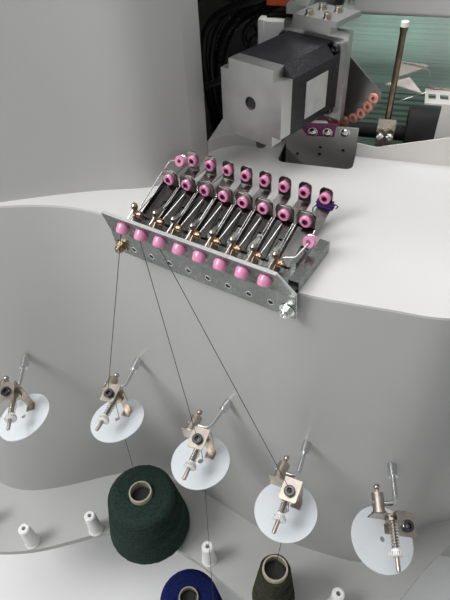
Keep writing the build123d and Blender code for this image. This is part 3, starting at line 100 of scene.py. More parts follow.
def noise(nodes, vector, scale, detail=4, rough=0.55):
    node = new_node(nodes, "TexNoise", {"Vector": vector, "Scale": scale, "Detail": detail,
                                        "Roughness": rough})
    return node.outputs["Fac"]


def ramp(nodes, value, stops):
    """Colours at stops along a value."""
    node = new_node(nodes, "ValToRGB", {"Fac": value})
    elements = node.color_ramp.elements
    while len(elements) < len(stops):
        elements.new(0.5)
    for element, (place, color) in zip(elements, stops):
        element.position = place
        element.color = (*color, 1)
    return node.outputs["Color"]


def mixed(nodes, under, over, factor, blend="MIX"):
    """One colour over another, by a factor or a mask."""
    node = nodes.new("ShaderNodeMix")
    node.data_type = "RGBA"
    node.blend_type = blend
    set_inputs(node, {"A": under, "B": over, "Factor": factor})
    return node.outputs["Result"]


def bump(nodes, height, strength, distance):
    node = new_node(nodes, "Bump", {"Height": height, "Strength": strength, "Distance": distance})
    return node.outputs["Normal"]


def shade(color, factor):
    return tuple(min(1, c * factor) for c in color)


def coated(name, color, rough=0.45, metal=0, mottle=0.05, mottle_scale=9, grain=0.15,
           grain_scale=900, stretch=(1, 1, 1), coat=0, specular=0.5, wear=None):
    """Painted, plated or moulded surface: slow mottling, fine grain and uneven gloss.

    Wear is the colour of worn spots, the scale of their noise and where in it they begin.
    """
    material, nodes, shader = new_material(name)
    slow = object_coordinates(nodes, 1)
    fine = object_coordinates(nodes, stretch)
    patches = noise(nodes, slow, mottle_scale, detail=5)
    tone = ramp(nodes, patches, [(0.3, shade(color, 1 - mottle)), (0.7, shade(color, 1 + mottle))])
    if wear:
        worn, spot_scale, begin = wear
        spots = noise(nodes, slow, spot_scale, detail=8, rough=0.7)
        mask = ramp(nodes, spots, [(begin, (0, 0, 0)), (min(1, begin + 0.12), (1, 1, 1))])
        tone = mixed(nodes, tone, (*worn, 1), mask)
    grit = noise(nodes, fine, grain_scale, detail=3)
    gloss = new_node(nodes, "MapRange", {"To Min": max(0.02, rough - 0.08), "To Max": rough + 0.08})
    set_inputs(gloss, {"Value": noise(nodes, slow, mottle_scale * 4, detail=3)})
    set_inputs(shader, {
        "Base Color": tone, "Metallic": metal, "Roughness": gloss.outputs["Result"],
        "Specular IOR Level": specular, "Coat Weight": coat, "Coat Roughness": 0.15,
        "Normal": bump(nodes, grit, grain, distance=0.0002)})
    return material


def metal(name, color, rough=0.25, brush=(1, 1, 1), mottle=0.08, grain=0.12, grain_scale=700,
          **words):
    """Bare or plated metal, brushed along the axes of the smaller numbers."""
    return coated(name, color, rough=rough, metal=1, mottle=mottle, grain=grain,
                  grain_scale=grain_scale, stretch=brush, **words)


HOUSING = coated("housing paint", (0.47, 0.465, 0.455), rough=0.4, mottle=0.02, grain=0.25,
                 grain_scale=1400, mottle_scale=3, coat=0.12)
DECK = coated("deck paint", (0.62, 0.61, 0.6), rough=0.34, mottle=0.015, grain=0.2,
              grain_scale=1400, mottle_scale=3, coat=0.18, wear=((0.42, 0.4, 0.37), 160, 0.8))
APRON = coated("apron paint", (0.43, 0.427, 0.415), rough=0.4, mottle=0.02, grain=0.25,
               grain_scale=1400, mottle_scale=2, coat=0.12)
SHELF = coated("shelf paint", (0.41, 0.41, 0.395), rough=0.4, mottle=0.02, grain=0.2,
               grain_scale=1400, mottle_scale=4, coat=0.1, wear=((0.3, 0.29, 0.27), 120, 0.78))
FRAME_GREY = coated("frame paint", (0.1, 0.105, 0.11), rough=0.5, mottle=0.06, grain=0.35)
ZINC = metal("zinc plate", (0.28, 0.295, 0.285), rough=0.27, mottle=0.16, mottle_scale=24,
             brush=(1, 14, 14), grain=0.2, wear=((0.16, 0.155, 0.13), 60, 0.62))
DARK_STEEL = metal("polished dark steel", (0.115, 0.112, 0.108), rough=0.17, mottle=0.3,
                   mottle_scale=70, brush=(12, 1, 1), grain=0.1)
BRIGHT = metal("bright steel", (0.8, 0.8, 0.78), rough=0.16, mottle=0.06, mottle_scale=60)
NICKEL = metal("nickel", (0.44, 0.39, 0.335), rough=0.3, mottle=0.18, mottle_scale=90,
               wear=((0.22, 0.18, 0.13), 150, 0.62))
CHROME = metal("satin chrome", (0.66, 0.67, 0.68), rough=0.2, mottle_scale=70)
MACHINED = metal("machined steel", (0.5, 0.5, 0.49), rough=0.3, brush=(1, 12, 12))
PLATE = coated("selector plate", (0.52, 0.5, 0.47), rough=0.42, metal=0.25, mottle=0.08,
               mottle_scale=12, grain=0.25, coat=0.3)
FENCE = coated("fence paint", (0.6, 0.58, 0.55), rough=0.38, mottle=0.03, grain=0.25, coat=0.12)
TAB_STEEL = metal("tab steel", (0.23, 0.22, 0.21), rough=0.22, mottle=0.25, mottle_scale=70)
# Painted reflection: the leaves' dark steel made lighter for their upright heads, which reflect the
# light in front
LEAF_HEAD_REFLECTION = metal("leaf heads reflection", (0.3, 0.29, 0.275), rough=0.3, mottle=0.25, mottle_scale=90)
# Painted highlight: light colour for the edges of the feeder plate, where they catch the light
EDGE_HIGHLIGHT = coated("painted edge highlight", (0.72, 0.74, 0.73), rough=0.28, metal=0.5, mottle=0.08)
JAW = coated("jaw plates", (0.46, 0.42, 0.39), rough=0.3, metal=0.35, mottle=0.08)
FAN = metal("fan sheet", (0.4, 0.38, 0.36), rough=0.38, mottle=0.14, mottle_scale=40)
GUNMETAL = metal("aged steel", (0.44, 0.4, 0.33), rough=0.28, mottle=0.22, mottle_scale=60,
                 wear=((0.16, 0.13, 0.09), 130, 0.58))
ROD_DARK = metal("dark brass rod", (0.2, 0.155, 0.11), rough=0.24, mottle=0.35, mottle_scale=90,
                 brush=(1, 1, 0.1))
BOLT_BRASS = metal("yellow zinc", (0.42, 0.34, 0.22), rough=0.26, mottle=0.3, mottle_scale=200,
                   wear=((0.08, 0.06, 0.04), 300, 0.55))
CABLE = coated("black cable", (0.012, 0.012, 0.014), rough=0.32, mottle=0.2, grain=0.3, coat=0.25)
# Painted shade: flat black laid in bores and behind openings, where the real insides lie in shade
SHADE_BLACK = coated("painted shade black", (0.01, 0.01, 0.012), rough=0.6, mottle=0.1, grain=0.3)
# Painted shade: the pink ceramic darkened to maroon for the shaded insides of the eyelets' bores
BORE_SHADE_PINK = coated("eyelet bore shade", (0.16, 0.012, 0.055), rough=0.35, mottle=0.2, grain=0)
CAST = metal("cast aluminium", (0.55, 0.55, 0.54), rough=0.42, mottle=0.07, mottle_scale=40,
             grain=0.5, grain_scale=1100)
LACQUER = coated("black lamination", (0.014, 0.014, 0.017), rough=0.36, mottle=0.3, grain=0.5,
                 specular=0.28, wear=((0.13, 0.13, 0.135), 520, 0.56))
CERAMIC = coated("pink ceramic", (0.72, 0.27, 0.44), rough=0.16, mottle=0.14, mottle_scale=160,
                 grain=0.05, coat=0.5)
CERAMIC_PALE = coated("salmon ceramic", (0.74, 0.34, 0.27), rough=0.2, mottle=0.16,
                      mottle_scale=160, grain=0.05, coat=0.5)
DARK_RING = metal("dark ring", (0.1, 0.1, 0.105), rough=0.22, mottle=0.2, mottle_scale=80)
WHITE_PLASTIC = coated("white plastic", (0.8, 0.8, 0.78), rough=0.38, mottle=0.03)
DISC_PLASTIC = coated("milky disc", (0.66, 0.69, 0.715), rough=0.3, mottle=0.025,
                      mottle_scale=30, grain=0.05, coat=0.2)
BLACK_PLASTIC = coated("black plastic", (0.02, 0.02, 0.022), rough=0.42, mottle=0.15, grain=0.3)
SCREEN = coated("panel glass", (0.02, 0.03, 0.04), rough=0.08, mottle=0.1, grain=0, coat=0.8)
KEY_GREY = coated("grey keys", (0.3, 0.31, 0.33), rough=0.5, mottle=0.05, grain=0.2)
RUBBER = coated("ground rubber", (0.022, 0.022, 0.022), rough=0.72, mottle=0.2, grain=0.9,
                grain_scale=1600)
PAPER = coated("wound card", (0.4, 0.37, 0.27), rough=0.8, mottle=0.1, mottle_scale=60,
               grain=0.5, stretch=(1, 1, 6))
STOP_RED = coated("red plastic", (0.62, 0.02, 0.02), rough=0.3, mottle=0.04, grain=0.05, coat=0.3)
YELLOW = coated("yellow plastic", (0.72, 0.52, 0.04), rough=0.35, mottle=0.04, grain=0.1)
ORANGE = coated("orange plastic", (0.75, 0.13, 0.035), rough=0.4, mottle=0.06, grain=0.1)
MAGENTA = coated("magenta tape", (0.2, 0.018, 0.11), rough=0.35, mottle=0.25, mottle_scale=90,
                 grain=0.3, coat=0.3)
COPPER = metal("copper plate", (0.62, 0.38, 0.24), rough=0.26, mottle=0.15, mottle_scale=120)
LABEL = coated("bare label", (0.52, 0.52, 0.5), rough=0.35, mottle=0.1, mottle_scale=60,
               grain=0.1)


def spun(name, color, light, streak=260):
    """Spun yarn: fibres along the thread, a darker tone as painted shade between the strands, and a
    soft sheen.
    """
    material, nodes, shader = new_material(name)
    where = object_coordinates(nodes, 1)
    strands = noise(nodes, where, streak, detail=5, rough=0.65)
    # Painted shade: the darker yarn colour comes in by noise, standing for shade between the
    # strands
    tone = ramp(nodes, strands, [(0.32, color), (0.62, light)])
    fibres = noise(nodes, where, 2600, rough=0.7)
    set_inputs(shader, {
        "Base Color": tone, "Roughness": 0.85, "Sheen Weight": 0.35, "Sheen Roughness": 0.5,
        "Sheen Tint": (*light, 1), "Specular IOR Level": 0.25,
        "Normal": bump(nodes, fibres, 0.6, distance=0.0004)})
    return material


def woven(name, warp, weft, streak):
    """Plain weave: crossing warp and weft threads, darker weft bars and pale bands along it."""
    material, nodes, shader = new_material(name)
    where = object_coordinates(nodes, 1)
    waves = []
    for direction, scale in (("X", 420), ("Y", 360)):
        wave = new_node(nodes, "TexWave", {"Vector": where, "Scale": scale, "Distortion": 1.2,
                                           "Detail": 1, "Detail Scale": 30})
        wave.bands_direction = direction
        waves.append(wave.outputs["Fac"])
    weave = new_node(nodes, "Math", {0: waves[0], 1: waves[1]})
    weave.operation = "MULTIPLY"
    crossings = weave.outputs["Value"]
    tone = ramp(nodes, crossings, [(0.05, shade(warp, 0.55)), (0.5, weft)])
    streaks = object_coordinates(nodes, (5, 420, 420))
    bars = ramp(nodes, noise(nodes, streaks, 1, detail=3, rough=0.6),
                [(0.36, streak), (0.47, (1, 1, 1))])
    bands = object_coordinates(nodes, (30, 0.4, 0.4), place=(0.7, 0, 0))
    pale = ramp(nodes, noise(nodes, bands, 1, detail=1, rough=0.4),
                [(0.42, (1, 1, 1)), (0.66, (1, 0.86, 0.9))])
    for layer in (bars, pale):
        tone = mixed(nodes, tone, layer, 1, "MULTIPLY")
    set_inputs(shader, {"Base Color": tone, "Roughness": 0.8, "Sheen Weight": 0.25,
                        "Normal": bump(nodes, crossings, 0.5, distance=0.0004)})
    return material


GREEN_YARN = spun("green yarn", (0.006, 0.016, 0.012), (0.022, 0.042, 0.034))
BLUE_YARN = spun("blue yarn", (0.002, 0.004, 0.04), (0.008, 0.018, 0.13))
OLIVE_YARN = spun("olive yarn", (0.012, 0.013, 0.006), (0.045, 0.045, 0.028))
WARP_YARN = spun("warp yarn", (0.46, 0.47, 0.43), (0.66, 0.66, 0.62))
THREAD = spun("dark thread", (0.015, 0.022, 0.04), (0.05, 0.06, 0.085), 900)
PURPLE_THREAD = spun("purple thread", (0.02, 0.008, 0.06), (0.07, 0.03, 0.16), 900)
CLOTH = woven("green cloth", (0.34, 0.56, 0.44), (0.6, 0.86, 0.73), (0.6, 0.7, 0.66))

NODE_MATERIALS = {
    "levelling_feet": MACHINED, "frame_beams": FRAME_GREY, "side_frames": FRAME_GREY,
    "left_front_cover": HOUSING, "left_outer_cover": HOUSING, "right_housing": HOUSING,
    "drive_motor": FRAME_GREY, "deck": DECK, "apron_panel": APRON, "lower_skirt": HOUSING,
    "creel_shelf": SHELF, "cone_pegs": WHITE_PLASTIC, "top_bridge": HOUSING, "cone_cores": PAPER,
    "tension_rods": CHROME, "tension_clamps": NICKEL, "tension_brackets": NICKEL,
    "yarn_eyelets": CERAMIC, "tension_posts": NICKEL, "tension_springs": GUNMETAL,
    "balloon_discs": DISC_PLASTIC, "feeder_plate": ZINC, "feeder_tray": ZINC,
    "feeder_leaves": DARK_STEEL, "feeder_tabs": TAB_STEEL, "feeder_fasteners": NICKEL,
    "motor_rear_cap": CAST, "motor_stack": LACQUER, "motor_flange": CAST, "motor_mount": CAST,
    "selector_fan": FAN, "fan_eyelets": CERAMIC_PALE, "selector_plate": PLATE,
    "front_fence": FENCE, "cloth_bars": CHROME, "take_up_roller": RUBBER,
    "cloth_roller": CHROME, "sley": MACHINED, "heald_frames_odd": CAST, "heald_frames_even": CAST,
    "warp_beam": CAST, "rapier": MACHINED, "thread_gripper": GUNMETAL,
    "control_panel": BLACK_PLASTIC, "emergency_stop": STOP_RED, "motor_cable": BLACK_PLASTIC}
NODE_MATERIALS.update({f"yarn_lever_{i}": BRIGHT for i in range(1, 9)})

# Edge rounding of the folded and machined solids, in millimetres
BEVELS = {"left_outer_cover": 2, "right_housing": 1, "creel_shelf": 3, "deck": 0.9,
          "top_bridge": 1, "side_frames": 1.5, "frame_beams": 2, "drive_motor": 2,
          "motor_rear_cap": 1.2, "motor_flange": 0.6, "motor_mount": 0.8, "feeder_plate": 0.4,
          "feeder_tray": 0.5, "control_panel": 2.5, "tension_rods": 0.5, "tension_clamps": 0.4,
          "balloon_discs": 0.4, "front_fence": 0.4, "warp_beam": 1.5, "cloth_bars": 1,
          "take_up_roller": 1, "selector_plate": 0.6, "levelling_feet": 1,
          "emergency_stop": 1.5, "cone_pegs": 0.6, "heald_frames_odd": 0.3,
          "heald_frames_even": 0.3, "cone_cores": 0.5}
ROUNDED_FROM = 40  # degrees between faces from which an edge is rounded


def new_object(name, data):
    obj = bpy.data.objects.new(name, data)
    bpy.context.scene.collection.objects.link(obj)
    return obj


def round_edges(obj, width):
    """Rounding, in millimetres, of the edges where faces meet sharply."""
    modifier = obj.modifiers.new("rounded edges", "BEVEL")
    modifier.width = width * MM
    modifier.segments = 2
    modifier.limit_method = "ANGLE"
    modifier.angle_limit = math.radians(ROUNDED_FROM)


def dress_nodes():
    """Material and rounded edges for each solid that stays."""
    for name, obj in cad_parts.items():
        material = NODE_MATERIALS.get(name)
        if material:
            if not obj.material_slots:
                obj.data.materials.append(material)
            for material_slot in obj.material_slots:
                material_slot.material = material
        if name in BEVELS:
            round_edges(obj, BEVELS[name])


# Geometry

def node_box(name):
    """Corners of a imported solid, in plan millimetres."""
    low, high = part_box(name)
    return Vector(low) / MM - DATUM, Vector(high) / MM - DATUM


def shift(x, y, z):
    return Matrix.Translation((x, y, z))


def turn(axis, degrees):
    return Matrix.Rotation(math.radians(degrees), 4, axis)


def polar(radius, angle):
    return radius * math.cos(angle), radius * math.sin(angle)


class Form:
    """Mesh under construction, in plan millimetres."""

    def __init__(self):
        self.points = []
        self.faces = []

    def add(self, points, faces, place=None):
        first = len(self.points)
        for point in points:
            point = Vector(point)
            self.points.append(place @ point if place else point)
        self.faces += [tuple(first + i for i in face) for face in faces]
        return self

    def slab(self, x, y, z, place=None):
        """Box between two values on each axis."""
        points = [(a, b, c) for a in x for b in y for c in z]
        return self.add(points, [(0, 1, 3, 2), (4, 6, 7, 5), (0, 4, 5, 1), (2, 3, 7, 6),
                                 (0, 2, 6, 4), (1, 5, 7, 3)], place)

    def prism(self, outline, low, high, place=None):
        """Closed outline in the XY plane raised from low to high."""
        n = len(outline)
        points = [(x, y, low) for x, y in outline] + [(x, y, high) for x, y in outline]
        faces = [(i, (i + 1) % n, n + (i + 1) % n, n + i) for i in range(n)]
        return self.add(points, faces + [tuple(range(n))[::-1], tuple(range(n, 2 * n))], place)

    def skin(self, points, sides, place, closed=False):
        """Faces between rings of points; an open row of rings is capped at its ends."""
        rings = len(points) // sides
        faces = []
        for j in range(rings if closed else rings - 1):
            a, b = j * sides, (j + 1) % rings * sides
            for k in range(sides):
                faces.append((a + k, a + (k + 1) % sides, b + (k + 1) % sides, b + k))
        if not closed:
            faces.append(tuple(range(sides))[::-1])
            faces.append(tuple(range(len(points) - sides, len(points))))
        return self.add(points, faces, place)

    def lathe(self, profile, sides, place=None, closed=False):
        """Profile of (radius, height) turned about z."""
        points = [(*polar(r, math.tau * k / sides), z) for r, z in profile for k in range(sides)]
        return self.skin(points, sides, place, closed)

    def tube(self, inner, outer, low, high, sides, place):
        """Ring of a rectangular section about z."""
        return self.lathe([(inner, low), (outer, low), (outer, high), (inner, high)], sides,
                          place, closed=True)

    def disc(self, radius, low, high, sides, place):
        """Full disc about z."""
        return self.lathe([(AXIS, low), (radius, low), (radius, high), (AXIS, high)], sides, place)

    def wire(self, route, radius, sides=6, place=None):
        """Round wire along a route of points."""
        route = [Vector(p) for p in route]
        points = []
        side = None
        for i, p in enumerate(route):
            ahead = (route[min(i + 1, len(route) - 1)] - route[max(i - 1, 0)]).normalized()
            if side is None:
                side = ahead.orthogonal().normalized()
            side = (side - ahead * side.dot(ahead)).normalized()
            up = ahead.cross(side)
            for k in range(sides):
                a = math.tau * k / sides
                points.append(p + (side * math.cos(a) + up * math.sin(a)) * radius)
        return self.skin(points, sides, place)


def piece(name, form, material, body="loom", replaces=(), bevel=0, angle=35):
    """Finish a form as a piece that rides on a body."""
    mesh = bpy.data.meshes.new(name)
    mesh.from_pydata([(p + DATUM) * MM for p in form.points], [], form.faces)
    shape = bmesh.new()
    shape.from_mesh(mesh)
    bmesh.ops.recalc_face_normals(shape, faces=shape.faces)
    shape.to_mesh(mesh)
    shape.free()
    for face in mesh.polygons:
        face.use_smooth = True
    mesh.set_sharp_from_angle(angle=math.radians(angle))
    mesh.materials.append(material)
    obj = new_object(name, mesh)
    if bevel:
        round_edges(obj, bevel)
    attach(obj, body)
    for node in replaces:
        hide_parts(node)
    return obj


# Lathe profiles of full forms end this near to the axis
AXIS = 0.05

# Turns of a form's z axis to the front and to the right, and planes for upright prisms
TO_FRONT = turn("X", 90)
TO_RIGHT = turn("Y", 90)
XZ_PLANE = Matrix(((1, 0, 0, 0), (0, 0, 1, 0), (0, 1, 0, 0), (0, 0, 0, 1)))
YZ_PLANE = Matrix(((0, 0, 1, 0), (1, 0, 0, 0), (0, 1, 0, 0), (0, 0, 0, 1)))

# Yarn cones: colour, yarn, centre, floor, foot and top radius, turns, passes, thread, phase
SHELF_TOP = 270
CONES = [("green", GREEN_YARN, (-275, 335), SHELF_TOP, (70, 54), 3.2, 44, 1.5, 0.1),
         ("blue", BLUE_YARN, (-200, 283), 0, (65, 54), 3.4, 44, 1.5, 0.4),
         ("olive", OLIVE_YARN, (-43, 281), SHELF_TOP, (34, 22.5), 4, 30, 1.3, 0.7)]
CORE_FOOT, CORE_TOP = 30.2, 19  # radii of the paper core under the yarn
CORE_BORE = 15.4
WOUND_FROM, WOUND_TO = 8, 123  # heights of the winding above the cone's floor
NOSE_HEIGHT = 133  # where a thread leaves its cone
GOLDEN_SHARE = 0.618034  # spreads the passes evenly round a cone

# Yarn tensioners: place, bearing, swing, nod and roll, as in the solids
TENSIONERS = [(-450, 393, 606, 21, 3, -2, -14), (-290, 436, 599, 0, -3, -1, -9),
              (-138, 398, 608, -16, 11, 3, -5), (-27, 372, 593, -3.5, -5, 3, -3),
              (79, 372, 589, 9.6, 3, 8, 13)]
ARM_TILT = 8.58  # fall of a bracket's arm, in degrees
RING_AT = (22, -28.5, 22 - 4 * 15.5 / 26.5 - 0.75)

# Yarn feeder: its frame, lanes, front plate and rows of eyelets
FEEDER = shift(-253, 409, 0) @ turn("Z", -15)
LANES = 8
LANE_FIRST = 3
LANE_PITCH = 24.6
PLATE_LEFT, PLATE_RIGHT = -22, 205
PLATE_TOP, PLATE_FOOT = 881, 821
PLATE_CORNER = 17
BEND_Y, BEND_Z = 6, 850  # the plate leans back below this line
PLATE_SLOPE = 3.6 / 29
LEAF_EYELET, TAB_EYELET = 88.8, 136.8
EYELET_Z = 880

# Selector motor: its frame, and the fan's eyelets
SELECTOR = shift(-149, 562, 946) @ turn("Z", -25)
FAN_RADIUS, FAN_PLANE = 77, 154.25
FAN_FIRST, FAN_STEP = -21.5, -10.2  # degrees

# Weaving zone: width of the cloth, and the (y, z) of the axes that cloth and warp run round
CLOTH_X = (-105, 345)
CLOTH_WIDTH = CLOTH_X[1] - CLOTH_X[0]
DENTS = 57
FELL = (1010, 930)
BREAST_BAR, TAKE_UP, CLOTH_ROLL = (803, 876), (748, 838), (745, 560)
BACK_REST, WARP_BEAM = (1400, 909), (1380, 540)
HEALD_FIRST, HEALD_PITCH = 1100, 18
REED_Y = (1037.5, 1042.5)
HALF_DENT = 1.75

HOUSING_CORNER = 40  # outer radius of the right housing's rounded corners


def lane(i):
    return LANE_FIRST + LANE_PITCH * i


def dent(n):
    """Middle of a reed dent across the cloth."""
    return CLOTH_X[0] + CLOTH_WIDTH / DENTS * (n + 0.5)


def head_frame(tensioner):
    x, y, z, bearing, swing, nod, roll = tensioner
    return (shift(x, y, z) @ turn("Z", bearing) @ shift(0, -50, 0) @ turn("Z", swing)
            @ shift(-20.5, 0, 0) @ turn("X", nod) @ turn("Y", roll))


def on_plate(s, z):
    """Frame on the leaning part of the feeder's front plate, with z straight out of it."""
    return (FEEDER @ shift(s, BEND_Y + (BEND_Z - z) * PLATE_SLOPE, z)
            @ turn("X", 90 + math.degrees(math.atan(PLATE_SLOPE))))


def make_cone(colour, yarn, centre, floor, radii, turns, passes, thread, phase):
    """Cone of cross-wound yarn: a core of wound thread under crossing helices."""
    r0, r1 = radii
    z0, z1 = floor + WOUND_FROM, floor + WOUND_TO
    place = shift(*centre, 0)
    sunk = thread * 0.9
    crown = min(8, (r1 - CORE_TOP) * 0.6)
    heel = min(6, (r0 - CORE_FOOT) * 0.6)
    flank = 12
    low, high = z0 + 5, z1 - crown * 0.75
    body = [(CORE_FOOT + 0.4, z0), (r0 - heel, z0), (r0 - sunk, z0 + heel)]
    body += [(r0 + (r1 - r0) * k / flank - sunk, low + (high - low) * k / flank)
             for k in range(1, flank + 1)]
    body += [(r1 - crown, z1 - 0.6), (CORE_TOP + 0.4, z1 - 0.8)]
    form = Form().lathe(body, 72, place, closed=True)
    steps = int(turns * 34)
    low, high = z0 + 4.5, z1 - crown * 0.7
    for n in range(passes):
        start = math.tau * ((n * GOLDEN_SHARE + phase) % 1)
        spin = 1 if n % 2 else -1
        route = []
        for k in range(steps + 1):
            share = k / steps
            a = start + spin * math.tau * turns * share
            wobble = 0.35 * math.sin(3.1 * a + n)
            r = r0 + (r1 - r0) * share - thread * (0.45 if n % 2 else 0.75)
            if share < 0.01 or share > 0.99:
                r -= thread
            route.append((*polar(r, a), low + (high - low) * share + wobble))
        form.wire(route, thread / 2, 4, place)
    rings, steps = 7, 60
    for k in range(rings):
        r = CORE_TOP + 2.5 + (r1 - crown - CORE_TOP - 3) * k / rings
        route = []
        for j in range(steps + 1):
            a = math.tau * j / steps
            route.append((*polar(r + 0.8 * math.sin(5 * a + k), a),
                          z1 - 0.75 + 0.35 * math.sin(7 * a + k)))
        form.wire(route, thread / 2, 4, place)
    piece(f"{colour}_winding", form, yarn, replaces=(f"yarn_cone_{colour}",),
          angle=60)


def make_core_bore_shade():
    """Painted shade: black discs inside the yarn cones' cores, where the bores lie in shade."""
    form = Form()
    for _, _, centre, floor, *_ in CONES:
        form.disc(CORE_BORE, floor + 112, floor + 113, 40, shift(*centre, 0))
    piece("core_bore_shade", form, SHADE_BLACK)


def wrap_path(circles, arc_step=6):
    """Centre line of a band that runs tangent to circles in turn, as (y, z) points."""
    headings = []
    for (a, ra, sa), (b, rb, sb) in zip(circles, circles[1:]):
        dy, dz = b[0] - a[0], b[1] - a[1]
        headings.append(math.atan2(dz, dy) - math.asin((sb * rb - sa * ra) / math.hypot(dy, dz)))

    def contact(circle, heading):
        (y, z), r, s = circle
        return (y + s * r * math.sin(heading), z - s * r * math.cos(heading))

    path = [contact(circles[0], headings[0])]
    for n, circle in enumerate(circles[1:], 1):
        first = headings[n - 1]
        path.append(contact(circle, first))
        if n < len(headings):
            bend = (headings[n] - first + math.pi) % math.tau - math.pi
            count = max(1, int(abs(math.degrees(bend)) / arc_step))
            for k in range(1, count + 1):
                path.append(contact(circle, first + bend * k / count))
    return path


def divided(path, step):
    """Path with its long runs cut into steps."""
    out = [path[0]]
    for a, b in zip(path, path[1:]):
        count = max(1, int(math.dist(a, b) / step))
        out += [tuple(p + (q - p) * k / count for p, q in zip(a, b)) for k in range(1, count + 1)]
    return out


def make_cloth():
    """Woven cloth from the reed over the breast bar and the take-up roller to its roll."""
    path = divided(wrap_path([(FELL, 0, 1), (BREAST_BAR, 13.6, 1), (TAKE_UP, 36.8, -1),
                              (CLOTH_ROLL, 60.8, 1)]), 5)
    form = Form()
    columns = 150
    for row, (y, z) in enumerate(path):
        for k in range(columns + 1):
            share = k / columns
            x = CLOTH_X[0] + CLOTH_WIDTH * share
            edge = min(share, 1 - share)
            curl = 0.22 * math.exp(-edge * 60) * math.sin(row * 1.7)
            ripple = 0.12 * math.sin(row * 0.9 + x * 0.05) * math.sin(x * 0.021 + row * 0.13)
            form.points.append(Vector((x, y, z + curl + ripple)))
    for row in range(len(path) - 1):
        for k in range(columns):
            a, b = row * (columns + 1) + k, (row + 1) * (columns + 1) + k
            form.faces.append((a, a + 1, b + 1, b))
    obj = piece("woven_cloth", form, CLOTH, replaces=("cloth",))
    modifier = obj.modifiers.new("thickness", "SOLIDIFY")
    modifier.thickness = 0.7 * MM
    modifier.offset = 0


def make_warp():
    """Warp threads, reed wires and heald wires between the solids' own."""
    path = wrap_path([(WARP_BEAM, 100.6, 1), (BACK_REST, 20.5, 1),
                      ((FELL[0] + 0.3, FELL[1]), 0, 1)], arc_step=15)
    warp, reed = Form(), Form()
    for n in range(DENTS):
        for offset in (-2.6, -0.9, 0.9, 2.6):
            warp.wire([(dent(n) + offset, y, z) for y, z in path], 0.3, 4)
        for offset in (-HALF_DENT, 0, HALF_DENT):
            x = dent(n) + offset
            reed.slab((x - 0.15, x + 0.15), REED_Y, (904, 986))
    piece("warp_threads", warp, WARP_YARN, replaces=("warp_sheet",), angle=80)
    piece("reed_wires", reed, BRIGHT, body="beat_up")

    for body, first in (("healds_odd", 0), ("healds_even", 1)):
        wires = Form()
        for number, offset in ((first, -HALF_DENT), (first + 2, HALF_DENT)):
            y = HEALD_FIRST + HEALD_PITCH * number
            for n in range(DENTS):
                x = dent(n) + offset
                wires.slab((x - 0.15, x + 0.15), (y - 0.8, y + 0.8), (795, 1065))
        piece(f"heald_wires_{body[7:]}", wires, BRIGHT, body=body)


def make_rolls():
    """Wound cloth and wound warp on their rollers."""
    y, z = CLOTH_ROLL
    waves = 40
    profile = [(28, 0.4), (59.2, 0.4), (60.25, 0.9)]
    profile += [(60.25 + 0.12 * math.sin(k * 1.3), 1 + 448 * k / waves) for k in range(waves + 1)]
    profile += [(59.2, 449.6), (28, 449.6)]
    roll = Form().lathe(profile, 64, shift(CLOTH_X[0], y, z) @ TO_RIGHT, closed=True)
    roll.slab((CLOTH_X[0] + 2, CLOTH_X[1] - 2), (y - 4, y + 5), (z - 60.8, z - 60.1))
    piece("cloth_winding", roll, CLOTH, body="cloth_roll")

    ridges = 224
    profile = [(45, 1)]
    for k in range(ridges):
        x = 1.2 + 447.6 * k / ridges
        profile += [(99.9, x), (100.35, x + 1)]
    profile += [(99.9, 449), (45, 449)]
    beam = Form().lathe(profile, 72, shift(CLOTH_X[0], *WARP_BEAM) @ TO_RIGHT, closed=True)
    piece("beam_winding", beam, WARP_YARN, body="warp_supply", angle=80)


def make_heads():
    """Knurled nuts, rings and stems of the yarn tensioners."""
    nuts, rings, tips = Form(), Form(), Form()
    ridges = 48
    knurl = [polar(8.35 if k % 2 else 7.75, math.tau * k / ridges) for k in range(ridges)]
    for tensioner in TENSIONERS:
        head = head_frame(tensioner)
        stud = head @ shift(17.5, 0, -5) @ TO_FRONT
        nuts.prism(knurl, 51.15, 55.2, stud)
        nuts.tube(2.4, 5.2, 47.9, 51.1, 28, stud)
        nuts.lathe([(2.4, 55.2), (6.4, 55.2), (5.6, 56), (2.4, 56)], 28, stud, closed=True)
        tips.lathe([(2.42, 56.2), (2.42, 70.6), (2, 71.4), (0.02, 71.6)], 20, stud)
        eye = head @ shift(*RING_AT) @ turn("X", ARM_TILT)
        for side in (1, -1):
            rings.lathe([(2.55, side * 0.9), (6.65, side * 0.9), (6.65, side * 4.4),
                         (5.8, side * 5.15), (3.3, side * 5.15), (2.55, side * 4)], 32, eye,
                        closed=True)
    piece("tension_nuts", nuts, WHITE_PLASTIC, angle=30)
    piece("tension_rings", rings, DARK_RING)
    piece("stud_ends", tips, NICKEL)


